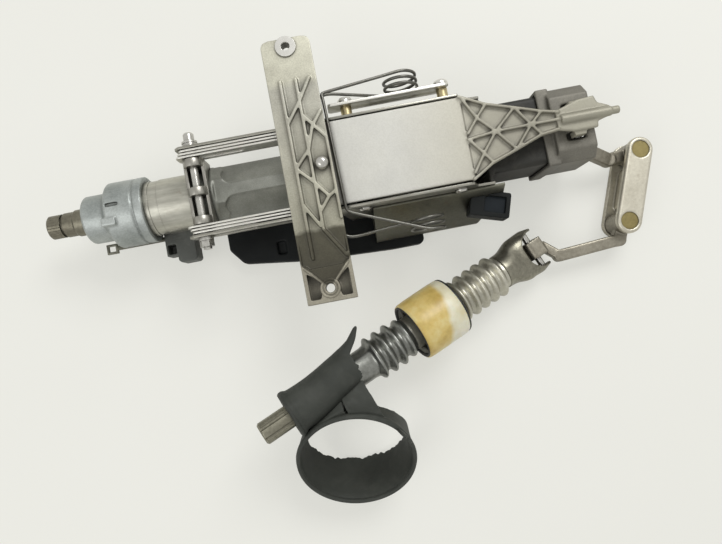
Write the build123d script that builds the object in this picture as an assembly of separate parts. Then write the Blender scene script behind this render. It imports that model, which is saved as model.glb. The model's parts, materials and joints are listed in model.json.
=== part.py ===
from build123d import *
import math
import os

# Steering column with a clamp for height and reach, and a jointed lower shaft folded back beside it.
# Millimetres. +X runs down the shaft line from the steering wheel end to the tail,
# +Z points up out of the two bolt seats. Everything is drawn about the shaft line and
# the finished pieces are lowered at the end, so that the bolt seats lie at z = 0.

# Fits
running = 0.06
press = 0.01
slip = 0.3
wall_gap = 0.5
floor_level = -50.0

# Shaft line: wheel end, housing and reach tube
wheel_tip_x = -231.0
spline_length = 11.5
spline_radius = 10.2
spline_teeth = 24
spline_depth = 0.42
shaft_neck_radius = 8.8
shaft_cone_radius = 11.6
wheel_shaft_radius = 8.5
housing_start_x = -197.0
housing_step_x = -174.0
housing_end_x = -142.0
housing_nose_radius = 20.8
housing_radius = 28.5
tube_radius = 23.8
tube_wall = 2.4
tube_end_x = -90.0

# Reach jacket and its clamp
jacket_start_x = -102.0
collar_length = 20.0
collar_wall = 1.8
collar_radius = tube_radius + collar_wall
jacket_flats = 47.0
jacket_end_x = 62.0
jacket_ridge = 8.5
pocket_start_x = -75.0
pocket_depth = 2.6
clamp_x = -93.0
clamp_rise = 5.9
clamp_height = collar_radius + clamp_rise
rod_radius = 3.4
eye_radius = 8.0
eye_width = 6.5
eye_offset = 24.0
saddle_width = 17.0
rod_cap_radius = 4.4
rod_tip_y = 50.0
nut_thickness = 5.0
washer_stack = 3.0
reach_travel = 40.0
lock_x = -122.0
lock_top = -14.0
strap_tip_x = -195.0
strap_height = -20.0
strap_thickness = 3.0

# Side rails, friction strips and the tilting frame
rail_offset = 35.5
rail_thickness = 2.2
rail_height = 18.0
rail_shoulder = 1.0
strip_top = clamp_height + rail_height / 2 - rail_shoulder
rail_start_x = -105.0
frame_start_x = 22.0
frame_end_x = 150.0
rail_end_x = 129.0
frame_bottom = -34.0
strip_thickness = 1.6
strip_gap = 0.9
strips_per_side = 3
strip_end_x = 12.0
rivet_x = 5.0
rivet_radius = 2.0
outer_strip_offset = 47.5
outer_strip_thickness = 2.5
outer_strip_height = 18.0
outer_strip_overhang = 15.0
cover_top = 23.0
cover_edge = -26.0
cover_reach = 62.0
cover_wall = 3.5
stud_xs = (39.0, 120.0)
stud_height = 29.0
stud_radius = 3.0
stud_head_radius = 6.2
spacer_radius = 4.6

# Rear box, end carrier and the tilt pivot
box_half_width = 29.0
box_top = 25.0
box_bottom = -31.0
box_wall = 3.0
box_end_x = 204.0
carrier_end_x = 237.0
carrier_half_width = 31.5
carrier_bore_inner = 26.0
carrier_mouth_radius = 30.0
pivot_x = 221.0
pivot_drop = 10.0
pivot_radius = 2.5
lug_radius = 5.4
tilt_travel = 5.0

# Console and crossmember
console_thickness = 4.0
console_top = strip_top + wall_gap + console_thickness
rail_top = console_top - 2.0
pivot_height = console_top - pivot_drop
carrier_top = pivot_height - 1.0
console_start_x = -17.0
console_edge_x = 130.0
console_half_width = 34.0
tail_rib_height = 6.0
tail_rib_width = 2.2
tail_start_x = 206.0
tail_wing_x = 247.0
tail_pin_length = 7.0
tail_tip_x = tail_wing_x + tail_pin_length
tail_rod_radius = 3.2
tail_rod_shoulder = 0.8
cross_half_width = 20.0
cross_far_y = 105.0
cross_near_y = -109.0
bolt_spacing = 196.0
bolt_hole_radius = 3.6
cross_rise = 6.0
seat_height = console_top + cross_rise
cross_web = 4.0
cross_flange = 11.0
cross_wall = 2.6
truss_height = 3.2
truss_width = 2.6
pocket_floor = 2.0
fold_far_y = 68.0
fold_near_y = -50.0
boss_radius = 7.8
washer_radius = 8.3
washer_thickness = 1.4

# Balance spring
wire_radius = 1.25
coil_radius = 13.5
coil_x = 88.0
coil_height = 25.0
coil_offset = 51.2
coil_pitch = 5.0
coil_turns = 3
spring_far_y = 56.0
spring_near_y = -41.0
spring_hook_x = 11.0

# Universal joint at the end of the rear shaft
joint_x = 207.0
rear_shaft_radius = 7.0
bearing_radius = 14.0
yoke_gap = 11.0
yoke_wall = 4.5
yoke_half_width = 7.0
yoke_throat = 16.0
trunnion_radius = 3.0
cup_radius = 4.8

# Folded chain of arms: plan positions and heights about the shaft line
link_top_pin = (293.6, -25.3)
link_low_pin = (270.6, -86.7)
link_height = 38.0
link_plate = 6.0
link_radius = 11.3
link_cup_radius = 7.7
link_pin_radius = 4.0
arm_width = 12.0
arm_depth = 10.0
eye_outer_radius = 10.0
tube_pivot = (185.0, -96.0, -30.0)
shaft_tip = (-76.6, -203.0, 32.0)

# Corrugated shaft, measured along its own line from the pin in its ears
ear_gap = 17.0
ear_width = 9.0
ear_radius = 7.0
ear_pin_radius = 3.0
mouth_start = 14.0
neck_radius = 13.5
bellows_start = 42.0
bellows_crest = 19.5
bellows_root = 15.0
upper_folds = 5
fold_pitch = 10.4
ring_start = 94.0
ring_end = 138.5
ring_radius = 27.0
lower_start = 142.0
lower_folds = 4
plain_end = 215.0
plain_radius = 14.4
bore_radius = 9.9
fluted_radius = 9.6
collar_start = 238.0
collar_end = 264.0
boot_collar_radius = 20.0
boot_wall = 2.6
boot_tear = 204.0
boot_flare_radius = 27.0
boot_flare_high = 78.0
boot_flare_arc = 110.0
boot_spike = 24.0
boot_ring_place = (-7.0, -243.5)
boot_ring_turn = -8.0
boot_ring_tilt = 32.0
boot_ring_radius = 48.6
boot_ring_bead = 1.6
boot_ring_small = 44.5
boot_ring_band = 45.5
boot_ring_far_band = 17.0

flange_face = rail_offset + rail_thickness + washer_stack
nut_face = rail_offset + rail_thickness + washer_stack
link_mid_z = floor_level + link_height / 2


def tube_x(outer, inner, start, end, y=0.0, z=0.0):
    """A round tube or bar along X."""
    middle = Pos((start + end) / 2, y, z) * Rot(0, 90, 0)
    solid = Cylinder(outer, end - start)
    if inner > 0:
        solid -= Cylinder(inner, end - start + 2)
    return middle * solid


def bar_y(radius, start, end, x, z):
    """A round bar along Y."""
    return Pos(x, (start + end) / 2, z) * Rot(90, 0, 0) * Cylinder(radius, end - start)


def bar_z(radius, start, end, x, y):
    """A round bar along Z."""
    return Pos(x, y, (start + end) / 2) * Cylinder(radius, end - start)


def block(x0, x1, y0, y1, z0, z1):
    """A block from its limits."""
    return Pos((x0 + x1) / 2, (y0 + y1) / 2, (z0 + z1) / 2) * Box(x1 - x0, y1 - y0, z1 - z0)


def turned_x(profile):
    """A solid of revolution about the shaft line from (x, radius) points."""
    face = make_face(Polyline(*[(x, 0, r) for x, r in profile], close=True))
    return revolve(face, Axis.X, 360)


def plate_xz(outline, y0, y1):
    """A plate of an outline in X and Z, between two Y values."""
    face = make_face(Polyline(*[(x, y0, z) for x, z in outline], close=True))
    return extrude(face, y1 - y0, (0, 1, 0))


def plate_yz(outline, x0, x1):
    """A plate of an outline in Y and Z, between two X values."""
    face = make_face(Polyline(*[(x0, y, z) for y, z in outline], close=True))
    return extrude(face, x1 - x0, (1, 0, 0))


def plate_xy(outline, z0, z1):
    """A plate of an outline in plan, between two heights."""
    face = make_face(Polyline(*[(x, y, z0) for x, y in outline], close=True))
    return extrude(face, z1 - z0, (0, 0, 1))


def lattice(lines, width, z0, z1):
    """Straight ribs with rounded ends along the lines of a plan, joined where they meet."""
    plan = None
    for start, end in lines:
        dx = end[0] - start[0]
        dy = end[1] - start[1]
        middle = Pos((start[0] + end[0]) / 2, (start[1] + end[1]) / 2)
        angle = math.degrees(math.atan2(dy, dx))
        slot = middle * Rot(0, 0, angle) * SlotCenterToCenter(math.hypot(dx, dy), width)
        plan = slot if plan is None else plan + slot
    return extrude(Pos(0, 0, z0) * plan, z1 - z0, (0, 0, 1))


def rib(start, end, width, z0, z1):
    """A straight rib in plan with rounded ends."""
    return lattice([(start, end)], width, z0, z1)


def mirrored_y(solid):
    return mirror(solid, Plane.XZ)


# Wheel end

def wheel_shaft():
    spline_end = wheel_tip_x + spline_length
    cone_start = spline_end + 11.0
    solid = turned_x([
        (wheel_tip_x, 0),
        (wheel_tip_x, spline_radius - 1.0),
        (wheel_tip_x + 1.0, spline_radius),
        (spline_end, spline_radius),
        (spline_end, shaft_neck_radius),
        (spline_end + 2.5, shaft_neck_radius),
        (spline_end + 2.5, shaft_cone_radius - 1.0),
        (cone_start, shaft_cone_radius - 1.0),
        (cone_start + 1.5, shaft_cone_radius),
        (housing_start_x + 1.5, shaft_cone_radius),
        (housing_start_x + 1.5, wheel_shaft_radius),
        (0, wheel_shaft_radius),
        (0, 0),
    ])
    groove_shape = Rot(45, 0, 0) * Box(spline_length + 2, spline_depth, spline_depth)
    for tooth in range(spline_teeth):
        turn = Rot(360.0 * tooth / spline_teeth, 0, 0)
        solid -= turn * Pos(wheel_tip_x + spline_length / 2, 0, spline_radius) * groove_shape
    return solid - double_d(rear_shaft_radius + slip, -120.0, 2.0)


def double_d(radius, start, end):
    """A bar with two flats, which slides in the wheel shaft and turns with it."""
    flat = radius * 0.78
    return tube_x(radius, 0, start, end) & block(start, end, -flat, flat, -radius, radius)


def front_housing():
    solid = turned_x([
        (housing_start_x, shaft_cone_radius + slip),
        (housing_start_x, housing_nose_radius - 2.0),
        (housing_start_x + 2.0, housing_nose_radius),
        (housing_step_x - 4.0, housing_nose_radius),
        (housing_step_x, housing_radius - 1.5),
        (housing_step_x + 1.5, housing_radius),
        (housing_end_x, housing_radius),
        (housing_end_x, tube_radius - tube_wall),
        (housing_step_x + 8.0, tube_radius - tube_wall),
        (housing_step_x + 8.0, shaft_cone_radius + slip),
    ])
    slot_depth = 3.0
    slot_top = housing_radius
    hollow = tube_x(tube_radius - tube_wall, 0, housing_step_x + 8.0, housing_end_x)
    solid -= block(housing_step_x + 2, housing_step_x + 13, 3, 6, slot_top - slot_depth, slot_top + 1)
    lug = block(housing_step_x - 3, housing_step_x + 9, -13, -6, 20.0, housing_radius + 0.8)
    solid += fillet(lug.edges().filter_by(Axis.X).sort_by(Axis.Z)[-2:], 1.5) - hollow
    groove = tube_x(housing_radius + 1, housing_radius - 1.2, housing_end_x - 9.0, housing_end_x - 7.0)
    return solid - groove


def housing_bearing():
    x0 = housing_step_x + 8.0
    ring = tube_x(tube_radius - tube_wall - press, 17.5, x0, x0 + 10.0)
    ring += tube_x(13.5, wheel_shaft_radius + running, x0, x0 + 10.0)
    ring += tube_x(18.0, 13.0, x0 + 3.0, x0 + 7.0)
    return ring


def outer_tube():
    solid = tube_x(tube_radius, tube_radius - tube_wall, housing_end_x + 0.0, tube_end_x)
    band = tube_x(tube_radius + 1, tube_radius - 0.5, housing_end_x + 4.0, housing_end_x + 12.0)
    return solid - band


def octagon(across, x0, x1):
    """An eight-sided bar along X, with flats up, down and to the sides."""
    corner = across / 2 / math.cos(math.pi / 8)
    points = []
    for side in range(8):
        angle = math.pi / 8 + side * math.pi / 4
        points.append((corner * math.cos(angle), corner * math.sin(angle)))
    return plate_yz(points, x0, x1)


def jacket_tube():
    body_start = jacket_start_x + collar_length
    solid = octagon(jacket_flats, body_start - 6, jacket_end_x)
    solid += tube_x(collar_radius, 0, jacket_start_x, body_start)
    pocket_length = frame_start_x - 10 - pocket_start_x
    slope = 38.0
    centre = jacket_flats / 2
    half = (centre * math.sin(math.radians(slope)) - jacket_ridge / 2) * 0.98
    outward = jacket_flats / 4
    for side in (-1, 1):
        pocket = Box(pocket_length - half, 2 * half, 2 * pocket_depth)
        pocket += Pos(-(pocket_length - half) / 2, 0, 0) * Cylinder(half, 2 * pocket_depth)
        pocket += Pos(0, -side * outward, 0) * pocket
        place = Rot(side * slope, 0, 0) * Pos(pocket_start_x + half + (pocket_length - half) / 2, 0, centre)
        solid -= place * pocket
        solid -= Rot(180, 0, 0) * place * pocket
    bore = tube_radius + running
    solid -= tube_x(bore, 0, jacket_start_x - 1, tube_end_x + 0.01)
    solid -= tube_x(wheel_shaft_radius + 6, 0, jacket_start_x - 1, jacket_end_x + 1)
    slit = block(jacket_start_x - 1, body_start - 4, -1.5, 1.5, 10, clamp_height)
    return solid - slit


def clamp_saddle():
    half = saddle_width / 2
    foot = 8.0
    side = eye_offset + eye_width / 2
    frame = block(clamp_x - half, clamp_x + half, -side, side, foot, clamp_height)
    for y in (-eye_offset, 0, eye_offset):
        frame += bar_y(eye_radius, y - eye_width / 2, y + eye_width / 2, clamp_x, clamp_height)
    frame = frame - tube_x(collar_radius + 0.02, 0, clamp_x - half - 1, clamp_x + half + 1)
    rail = 2.6
    for side in (-1, 1):
        low = eye_width / 2
        high = eye_offset - eye_width / 2
        window = block(clamp_x - half + rail, clamp_x + half - rail, low, high, foot, clamp_height + 1)
        frame -= window if side > 0 else mirrored_y(window)
    frame -= bar_y(rod_radius + running, -60, 60, clamp_x, clamp_height)
    frame -= block(clamp_x - half - 1, clamp_x + half + 1, -1.5, 1.5, 10, clamp_height - rod_radius)
    return frame


def clamp_rod():
    rod_end = nut_face + nut_thickness + 2.0
    rod = bar_y(rod_radius, -rod_end, flange_face, clamp_x, clamp_height)
    flange = bar_y(rod_cap_radius + 2.0, flange_face, flange_face + 1.6, clamp_x, clamp_height)
    cap = bar_y(rod_cap_radius, flange_face + 1.6, rod_tip_y, clamp_x, clamp_height)
    cap = fillet(cap.edges().sort_by(Axis.Y)[-1], 2.5)
    return rod + flange + cap


def clamp_nut():
    middle = nut_face + nut_thickness / 2
    nut = Pos(clamp_x, -middle, clamp_height) * Rot(90, 0, 0)
    solid = nut * extrude(RegularPolygon(6.0, 6), nut_thickness / 2, both=True)
    return solid - bar_y(rod_radius, -nut_face - 10, -nut_face + 1, clamp_x, clamp_height)


def lamella_offsets():
    """The inner faces of the friction strips on one side, from the jacket outwards."""
    first = rail_offset - strips_per_side * (strip_thickness + strip_gap)
    return [first + n * (strip_thickness + strip_gap) for n in range(strips_per_side)]


def clamp_sleeves():
    """The sleeves that hold the strips off the saddle, and the discs between the strips."""
    start = eye_offset + eye_width / 2
    inner = rod_radius + 0.01
    rail_face = rail_offset + rail_thickness
    pieces = []
    for sign, outer_face in ((-1, nut_face), (1, flange_face)):
        first = lamella_offsets()[0]
        spans = [(start + 0.05, first - 0.05, rod_radius + 2.2)]
        for offset in lamella_offsets():
            spans.append((offset + strip_thickness + 0.05, offset + strip_thickness + strip_gap - 0.05, 6.5))
        spans.append((rail_face + 0.05, outer_face - 0.05, 6.0))
        for low, high, radius in spans:
            ring = bar_y(radius, low, high, clamp_x, clamp_height)
            ring -= bar_y(inner, low - 1, high + 1, clamp_x, clamp_height)
            pieces.append(ring if sign > 0 else mirrored_y(ring))
    return pieces


def rod_slot(y0, y1):
    """The slot that the clamp rod slides along."""
    radius = rod_radius + slip
    slot = block(clamp_x, clamp_x + reach_travel, y0, y1, clamp_height - radius, clamp_height + radius)
    slot += bar_y(radius, y0, y1, clamp_x, clamp_height)
    return slot + bar_y(radius, y0, y1, clamp_x + reach_travel, clamp_height)


def strip(x0, x1, y0, y1, z0, z1):
    """A flat strip on edge with rounded corners and the slot for the rod."""
    solid = block(x0, x1, y0, y1, z0, z1)
    solid = fillet(solid.edges().filter_by(Axis.Y), 4.0)
    solid -= bar_y(rivet_radius + 0.01, y0 - 1, y1 + 1, rivet_x, clamp_height)
    return solid - rod_slot(y0 - 1, y1 + 1)


def lamellae(sign):
    low = clamp_height - rail_height / 2
    high = strip_top
    pieces = []
    for number, offset in enumerate(lamella_offsets()):
        start = rail_start_x + 1.5 * number
        piece = strip(start, strip_end_x, offset, offset + strip_thickness, low, high)
        pieces.append(piece if sign > 0 else mirrored_y(piece))
    return pieces


def side_frame():
    """The pressed steel channel under the console, with the two slotted rails that reach the clamp."""
    outer = rail_offset + rail_thickness
    low = clamp_height - rail_height / 2
    side = plate_xz([
        (rail_start_x + 4, low),
        (frame_start_x - 4, low),
        (frame_start_x + 6, frame_bottom),
        (frame_end_x, frame_bottom),
        (frame_end_x, box_top),
        (rail_end_x + 6, box_top + 2),
        (rail_end_x, rail_top),
        (frame_start_x, rail_top),
        (frame_start_x - 6, strip_top),
        (rail_start_x + 4, strip_top),
        (rail_start_x, clamp_height + 4),
        (rail_start_x, clamp_height - 4),
    ], rail_offset, outer)
    side -= rod_slot(rail_offset - 1, outer + 1)
    side -= bar_y(rivet_radius + 0.01, rail_offset - 1, outer + 1, rivet_x, clamp_height)
    for x in stud_xs:
        side -= bar_y(stud_radius + 0.01, rail_offset - 1, outer + 1, x, stud_height)
    window = block(frame_start_x + 36, frame_end_x - 44, rail_offset - 1, outer + 1, -22, 12)
    side -= fillet(window.edges().filter_by(Axis.Y), 6.0)
    web = block(frame_start_x + 6, frame_end_x, -outer, outer, frame_bottom, frame_bottom + rail_thickness)
    window = block(frame_start_x + 36, frame_end_x - 44, -18, 18, frame_bottom - 1, frame_bottom + 4)
    web -= fillet(window.edges().filter_by(Axis.Z), 6.0)
    return side + mirrored_y(side) + web


def guide_shoes():
    """Plastic shoes on the channel's walls that the jacket's side flats slide along."""
    inner = jacket_flats / 2 + slip
    shoe = block(frame_start_x + 12, frame_start_x + 26, inner, rail_offset, -8, 8)
    return [shoe, mirrored_y(shoe)]


def strip_rivets():
    """The rivets that hold each pack of friction strips to its rail."""
    inner = lamella_offsets()[0]
    outer = rail_offset + rail_thickness
    pieces = []
    for sign in (-1, 1):
        rivet = bar_y(rivet_radius, inner - 1.2, outer + 1.2, rivet_x, clamp_height)
        pieces.append(rivet if sign > 0 else mirrored_y(rivet))
    return pieces


def outer_strip():
    y0 = outer_strip_offset
    start = stud_xs[0] - outer_strip_overhang
    end = stud_xs[1] + outer_strip_overhang - 11
    half = outer_strip_height / 2
    solid = block(start, end, y0, y0 + outer_strip_thickness, stud_height - half, stud_height + half)
    solid = fillet(solid.edges().filter_by(Axis.Y), 3.0)
    for x in stud_xs:
        solid -= bar_y(stud_radius + 0.01, y0 - 1, y0 + outer_strip_thickness + 1, x, stud_height)
    return solid


def shouldered_studs():
    pieces = []
    outer = outer_strip_offset + outer_strip_thickness
    for x in stud_xs:
        shank = bar_y(stud_radius, rail_offset - 1.5, outer, x, stud_height)
        head = bar_y(stud_head_radius, outer, outer + 5.5, x, stud_height)
        head = fillet(head.edges().sort_by(Axis.Y)[-1], 3.4)
        pieces.append(shank + head)
    return pieces


def stud_spacers():
    pieces = []
    for x in stud_xs:
        ring = bar_y(spacer_radius, rail_offset + rail_thickness, outer_strip_offset, x, stud_height)
        ring -= bar_y(stud_radius + 0.01, 0, outer_strip_offset + 1, x, stud_height)
        pieces.append(ring)
    return pieces


def near_rivets():
    pieces = []
    outer = rail_offset + rail_thickness
    for x in stud_xs:
        shank = bar_y(stud_radius, -outer, -rail_offset + 1.5, x, stud_height)
        head = bar_y(stud_head_radius - 1, -outer - 2.6, -outer, x, stud_height)
        head = fillet(head.edges().sort_by(Axis.Y)[0], 2.0)
        pieces.append(shank + head)
    return pieces


def rear_box():
    solid = block(frame_end_x - 4, box_end_x, -box_half_width, box_half_width, box_bottom, box_top)
    solid = fillet(solid.edges().filter_by(Axis.X), 4.0)
    flange = block(frame_end_x - 4, frame_end_x, -rail_offset, rail_offset, frame_bottom + rail_thickness, box_top)
    solid += flange
    inner = box_half_width - box_wall
    hollow = block(frame_end_x - 5, box_end_x + 1, -inner, inner, box_bottom + box_wall, box_top - box_wall)
    return solid - fillet(hollow.edges().filter_by(Axis.X), 2.0)


def end_carrier():
    """The cast end of the tilting frame: a bell mouth round the joint, a foot and the pivot lug."""
    half = carrier_half_width
    body = block(box_end_x, carrier_end_x, -half, half, box_bottom - 2, carrier_top)
    body = chamfer(body.edges().filter_by(Axis.X), 9.0)
    foot = plate_xz([
        (box_end_x + 3, box_bottom + 2),
        (box_end_x + 6, floor_level),
        (carrier_end_x - 5, floor_level),
        (carrier_end_x - 2, box_bottom + 2),
    ], -22, 22)
    flange = block(box_end_x - 8, box_end_x + 3, -half - 1, half + 1, box_bottom - 3, box_top + 3)
    flange -= block(box_end_x - 9, box_end_x, -box_half_width, box_half_width, box_bottom, box_top)
    lug = block(pivot_x - lug_radius, pivot_x + lug_radius, -9, 9, carrier_top - 4, pivot_height)
    lug += bar_y(lug_radius, -9, 9, pivot_x, pivot_height)
    solid = body + foot + flange + lug
    mouth = turned_x([
        (box_end_x - 10, 0),
        (box_end_x - 10, carrier_bore_inner - 2),
        (box_end_x, carrier_bore_inner),
        (carrier_end_x + 1, carrier_mouth_radius),
        (carrier_end_x + 1, 0),
    ])
    solid -= mouth
    for y0, y1 in ((9.0, 15.0), (-15.0, -9.0)):
        solid -= block(pivot_x - 8, pivot_x + 8, y0, y1, pivot_height - 8, carrier_top + 1)
    return solid - bar_y(pivot_radius, -9.5, 9.5, pivot_x, pivot_height)


def carrier_bearing():
    """The bearing that carries the rear shaft, in a plate across the front of the box."""
    x0 = frame_end_x + 8
    inner = box_half_width - box_wall
    plate = block(x0, x0 + 8, -inner, inner, box_bottom + box_wall, box_top - box_wall)
    plate = fillet(plate.edges().filter_by(Axis.X), 2.0)
    return plate - tube_x(bearing_radius, 0, x0 - 1, x0 + 9)


def rear_bearing():
    x0 = frame_end_x + 8
    return tube_x(bearing_radius - press, rear_shaft_radius + running, x0, x0 + 8)


def pivot_pin():
    return bar_y(pivot_radius, -14.5, 14.5, pivot_x, pivot_height)


def side_cover():
    """The cast cover that flares out of the near wall of the channel."""
    outer = rail_offset + rail_thickness
    profile = [
        (-outer, cover_top),
        (-outer - 2, cover_top),
        (-cover_reach, cover_edge),
        (-cover_reach, frame_bottom),
        (-outer, frame_bottom),
    ]
    solid = plate_yz(profile, frame_start_x + 24, frame_end_x + 8)
    inner = [
        (-outer, cover_top - 2 * cover_wall),
        (-cover_reach + cover_wall, cover_edge - 1),
        (-cover_reach + cover_wall, frame_bottom + 3),
        (-outer, frame_bottom + 3),
    ]
    solid -= plate_yz(inner, frame_start_x + 27, frame_end_x + 5)
    nose = plate_xy([
        (frame_end_x - 18, -70),
        (frame_end_x + 12, -70),
        (frame_end_x + 12, -outer - 3),
    ], frame_bottom - 1, 26)
    return solid - nose


def connector():
    place = Pos(145, -52, 5) * Rot(0, 0, -17)
    body = fillet(Box(34, 22, 18).edges().filter_by(Axis.Z), 2.0)
    body -= Pos(4, 0, 6) * Box(18, 14, 8)
    foot = Pos(-4, 8, -13) * Box(14, 10, 12)
    solid = place * (body + foot)
    return solid - side_cover_keepout()


def side_cover_keepout():
    outer = rail_offset + rail_thickness
    return plate_yz([
        (-outer, 60),
        (-outer - 2, cover_top),
        (-cover_reach, cover_edge),
        (-cover_reach, frame_bottom),
        (-outer, frame_bottom),
        (0, frame_bottom),
        (0, 60),
    ], frame_start_x, frame_end_x + 60)


def connector_insert():
    place = Pos(145, -52, 5) * Rot(0, 0, -17)
    return place * Pos(4, 0, 4) * Box(18, 14, 4) - side_cover_keepout()


def under_tray():
    """The black moulded tray under the jacket, which the column stands on."""
    outline = [
        (-89, -44),
        (-78, -58),
        (-20, -66),
        (60, -70),
        (90, -70),
        (90, -20),
        (70, 18),
        (-60, 18),
        (-89, 4),
    ]
    top = frame_bottom - 1.0
    solid = plate_xy(outline, floor_level, top)
    solid = fillet(solid.edges().filter_by(Axis.Z), 5.0)
    slot = block(-45, -37, -56, -44, top - 4, top + 1)
    return solid - slot


def tray_bracket():
    """The folded sheet bracket that hangs the tray from the channel."""
    top = frame_bottom
    sheet = block(60, 120, -60, -12, top - 1.0, top)
    return fillet(sheet.edges().filter_by(Axis.Z), 3.0)


def lock_block():
    solid = block(lock_x - 9.0, lock_x + 8.0, -48.5, -16, -34, lock_top)
    solid = chamfer(solid.edges().filter_by(Axis.Z), 2.0)
    solid += block(lock_x - 18.5, lock_x - 7.0, -41.5, -16, -30, lock_top)
    solid -= tube_x(tube_radius, 0, -150, -100)
    return solid - block(lock_x - 16.8, lock_x - 9.5, -40.0, -31.5, -26, lock_top + 1)


def lock_strap():
    low = strap_height - strap_thickness
    strap = block(strap_tip_x + 8.0, lock_x - 18.5, -26.2, -22.2, low, strap_height)
    eye = block(strap_tip_x, strap_tip_x + 10.0, -29.0, -20.0, low, strap_height)
    eye -= block(strap_tip_x + 2.0, strap_tip_x + 8.0, -27.0, -22.0, low - 1, strap_height + 1)
    return strap + eye


# Chain of the lower shaft

def yoke(throat, outward):
    """A fork along +X whose two prongs carry a cross at the origin; the eyes lie on Z."""
    prong = block(-throat - 2, 0, -yoke_half_width, yoke_half_width, yoke_gap, yoke_gap + yoke_wall)
    prong += bar_z(yoke_half_width, yoke_gap, yoke_gap + yoke_wall, 0, 0)
    prong += mirror(prong, Plane.XY)
    high = yoke_gap + yoke_wall
    base = block(-throat - 6, -throat, -yoke_half_width, yoke_half_width, -high, high)
    solid = prong + base
    solid = solid - bar_z(cup_radius, -40, 40, 0, 0)
    return solid + tube_x(outward, 0, -throat - 20, -throat - 4)


def rear_shaft():
    fork = Pos(joint_x, 0, 0) * yoke(yoke_throat, rear_shaft_radius + 2)
    stop = joint_x - yoke_throat - 19
    return fork + double_d(rear_shaft_radius, -80.0, frame_end_x - 2) + tube_x(
        rear_shaft_radius, 0, frame_end_x - 3, stop
    )


def cup_pair():
    """Two bearing cups on Z round the trunnions of a cross at the origin."""
    outer = yoke_gap + yoke_wall
    cup = bar_z(cup_radius, yoke_gap, outer, 0, 0) - bar_z(trunnion_radius + running, 0, outer - 1.0, 0, 0)
    return [cup, mirror(cup, Plane.XY)]


def cross():
    reach = yoke_gap + yoke_wall - 1.2
    solid = bar_z(trunnion_radius, -reach, reach, 0, 0) + bar_y(trunnion_radius, -reach, reach, 0, 0)
    hub = Box(10, 10, 10)
    solid += fillet(hub.edges(), 2.0)
    return solid


arm_start = Vector(joint_x, 0, 0)
arm_bend = Vector(268.0, -28.0, -26.0)
arm_lead = Vector(240.0, -15.0, -12.0)
arm_eye = Vector(link_top_pin[0], link_top_pin[1], link_mid_z)
arm_yaw = math.degrees(math.atan2(arm_lead.Y, arm_lead.X - joint_x))
arm_pitch = math.degrees(math.atan2(arm_lead.Z, math.hypot(arm_lead.X - joint_x, arm_lead.Y)))
cross_place = Pos(joint_x, 0, 0) * Rot(0, 0, arm_yaw)
arm_place = cross_place * Rot(0, -arm_pitch, 0) * Rot(90, 0, 0) * Rot(0, 180, 0)


def beam(start, end, width, depth):
    """A square-edged bar between two points, its width level."""
    run = end - start
    yaw = math.degrees(math.atan2(run.Y, run.X))
    pitch = math.degrees(math.atan2(run.Z, math.hypot(run.X, run.Y)))
    middle = (start + end) * 0.5
    place = Pos(middle.X, middle.Y, middle.Z) * Rot(0, 0, yaw) * Rot(0, -pitch, 0)
    return place * fillet(Box(run.length, width, depth).edges().filter_by(Axis.X), 1.5)


def knuckle(point, radius, depth):
    return Pos(point.X, point.Y, point.Z) * Cylinder(radius, depth)


def upper_arm():
    fork = arm_place * yoke(yoke_throat, 6.0)
    hub_end = arm_start + (arm_lead - arm_start).normalized() * (yoke_throat + 4)
    solid = fork + beam(hub_end, arm_lead, arm_width, arm_depth)
    solid += beam(arm_lead, arm_bend, arm_width, arm_depth)
    solid += knuckle(arm_lead, arm_width / 2, arm_depth) + knuckle(arm_bend, arm_width / 2, arm_depth)
    solid += beam(arm_bend, arm_eye, arm_width, arm_depth)
    eye_depth = link_height - 2 * link_plate - 1.0
    solid += knuckle(arm_eye, eye_outer_radius, eye_depth)
    return solid - knuckle(arm_eye, link_pin_radius + running, 60)


def link():
    """The forged double clevis: two plates joined by a web between the pins."""
    top = floor_level + link_height
    low = floor_level
    ends = (link_top_pin, link_low_pin)
    plate_low = rib(ends[0], ends[1], 2 * link_radius, low, low + link_plate)
    plate_top = rib(ends[0], ends[1], 2 * link_radius, top - link_plate, top)
    plate_low = chamfer(plate_low.edges().group_by(Axis.Z)[0], 1.0)
    plate_top = chamfer(plate_top.edges().group_by(Axis.Z)[-1], 1.4)
    run = Vector(ends[1][0] - ends[0][0], ends[1][1] - ends[0][1], 0)
    clear = 17.5
    along = run.normalized()
    inner_a = (ends[0][0] + along.X * clear, ends[0][1] + along.Y * clear)
    inner_b = (ends[1][0] - along.X * clear, ends[1][1] - along.Y * clear)
    web = rib(inner_a, inner_b, 8.0, low + 1, top - 1)
    solid = plate_low + plate_top + web
    for x, y in ends:
        solid -= bar_z(link_cup_radius, low - 1, low + link_plate + 1, x, y)
        solid -= bar_z(link_cup_radius, top - link_plate - 1, top + 1, x, y)
    return solid


def link_cups():
    """Four pressed cups, set a little below the faces of the link."""
    top = floor_level + link_height
    pieces = []
    for x, y in (link_top_pin, link_low_pin):
        upper = bar_z(link_cup_radius, top - link_plate, top - 1.2, x, y)
        pieces.append(upper - bar_z(link_pin_radius, 0 + floor_level, top - 2.4, x, y))
        lower = bar_z(link_cup_radius, floor_level + 1.2, floor_level + link_plate, x, y)
        pieces.append(lower - bar_z(link_pin_radius, floor_level + 2.4, top, x, y))
    return pieces


def link_pins():
    top = floor_level + link_height - 2.4
    return [bar_z(link_pin_radius, floor_level + 2.4, top, x, y) for x, y in (link_top_pin, link_low_pin)]


pivot_point = Vector(*tube_pivot)
tip_point = Vector(*shaft_tip)
shaft_run = (tip_point - pivot_point).normalized()
shaft_length = (tip_point - pivot_point).length
pin_direction = Vector(0, 0, 1).cross(shaft_run).normalized()
shaft_frame = Plane(origin=pivot_point, x_dir=pin_direction, z_dir=shaft_run).location


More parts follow.
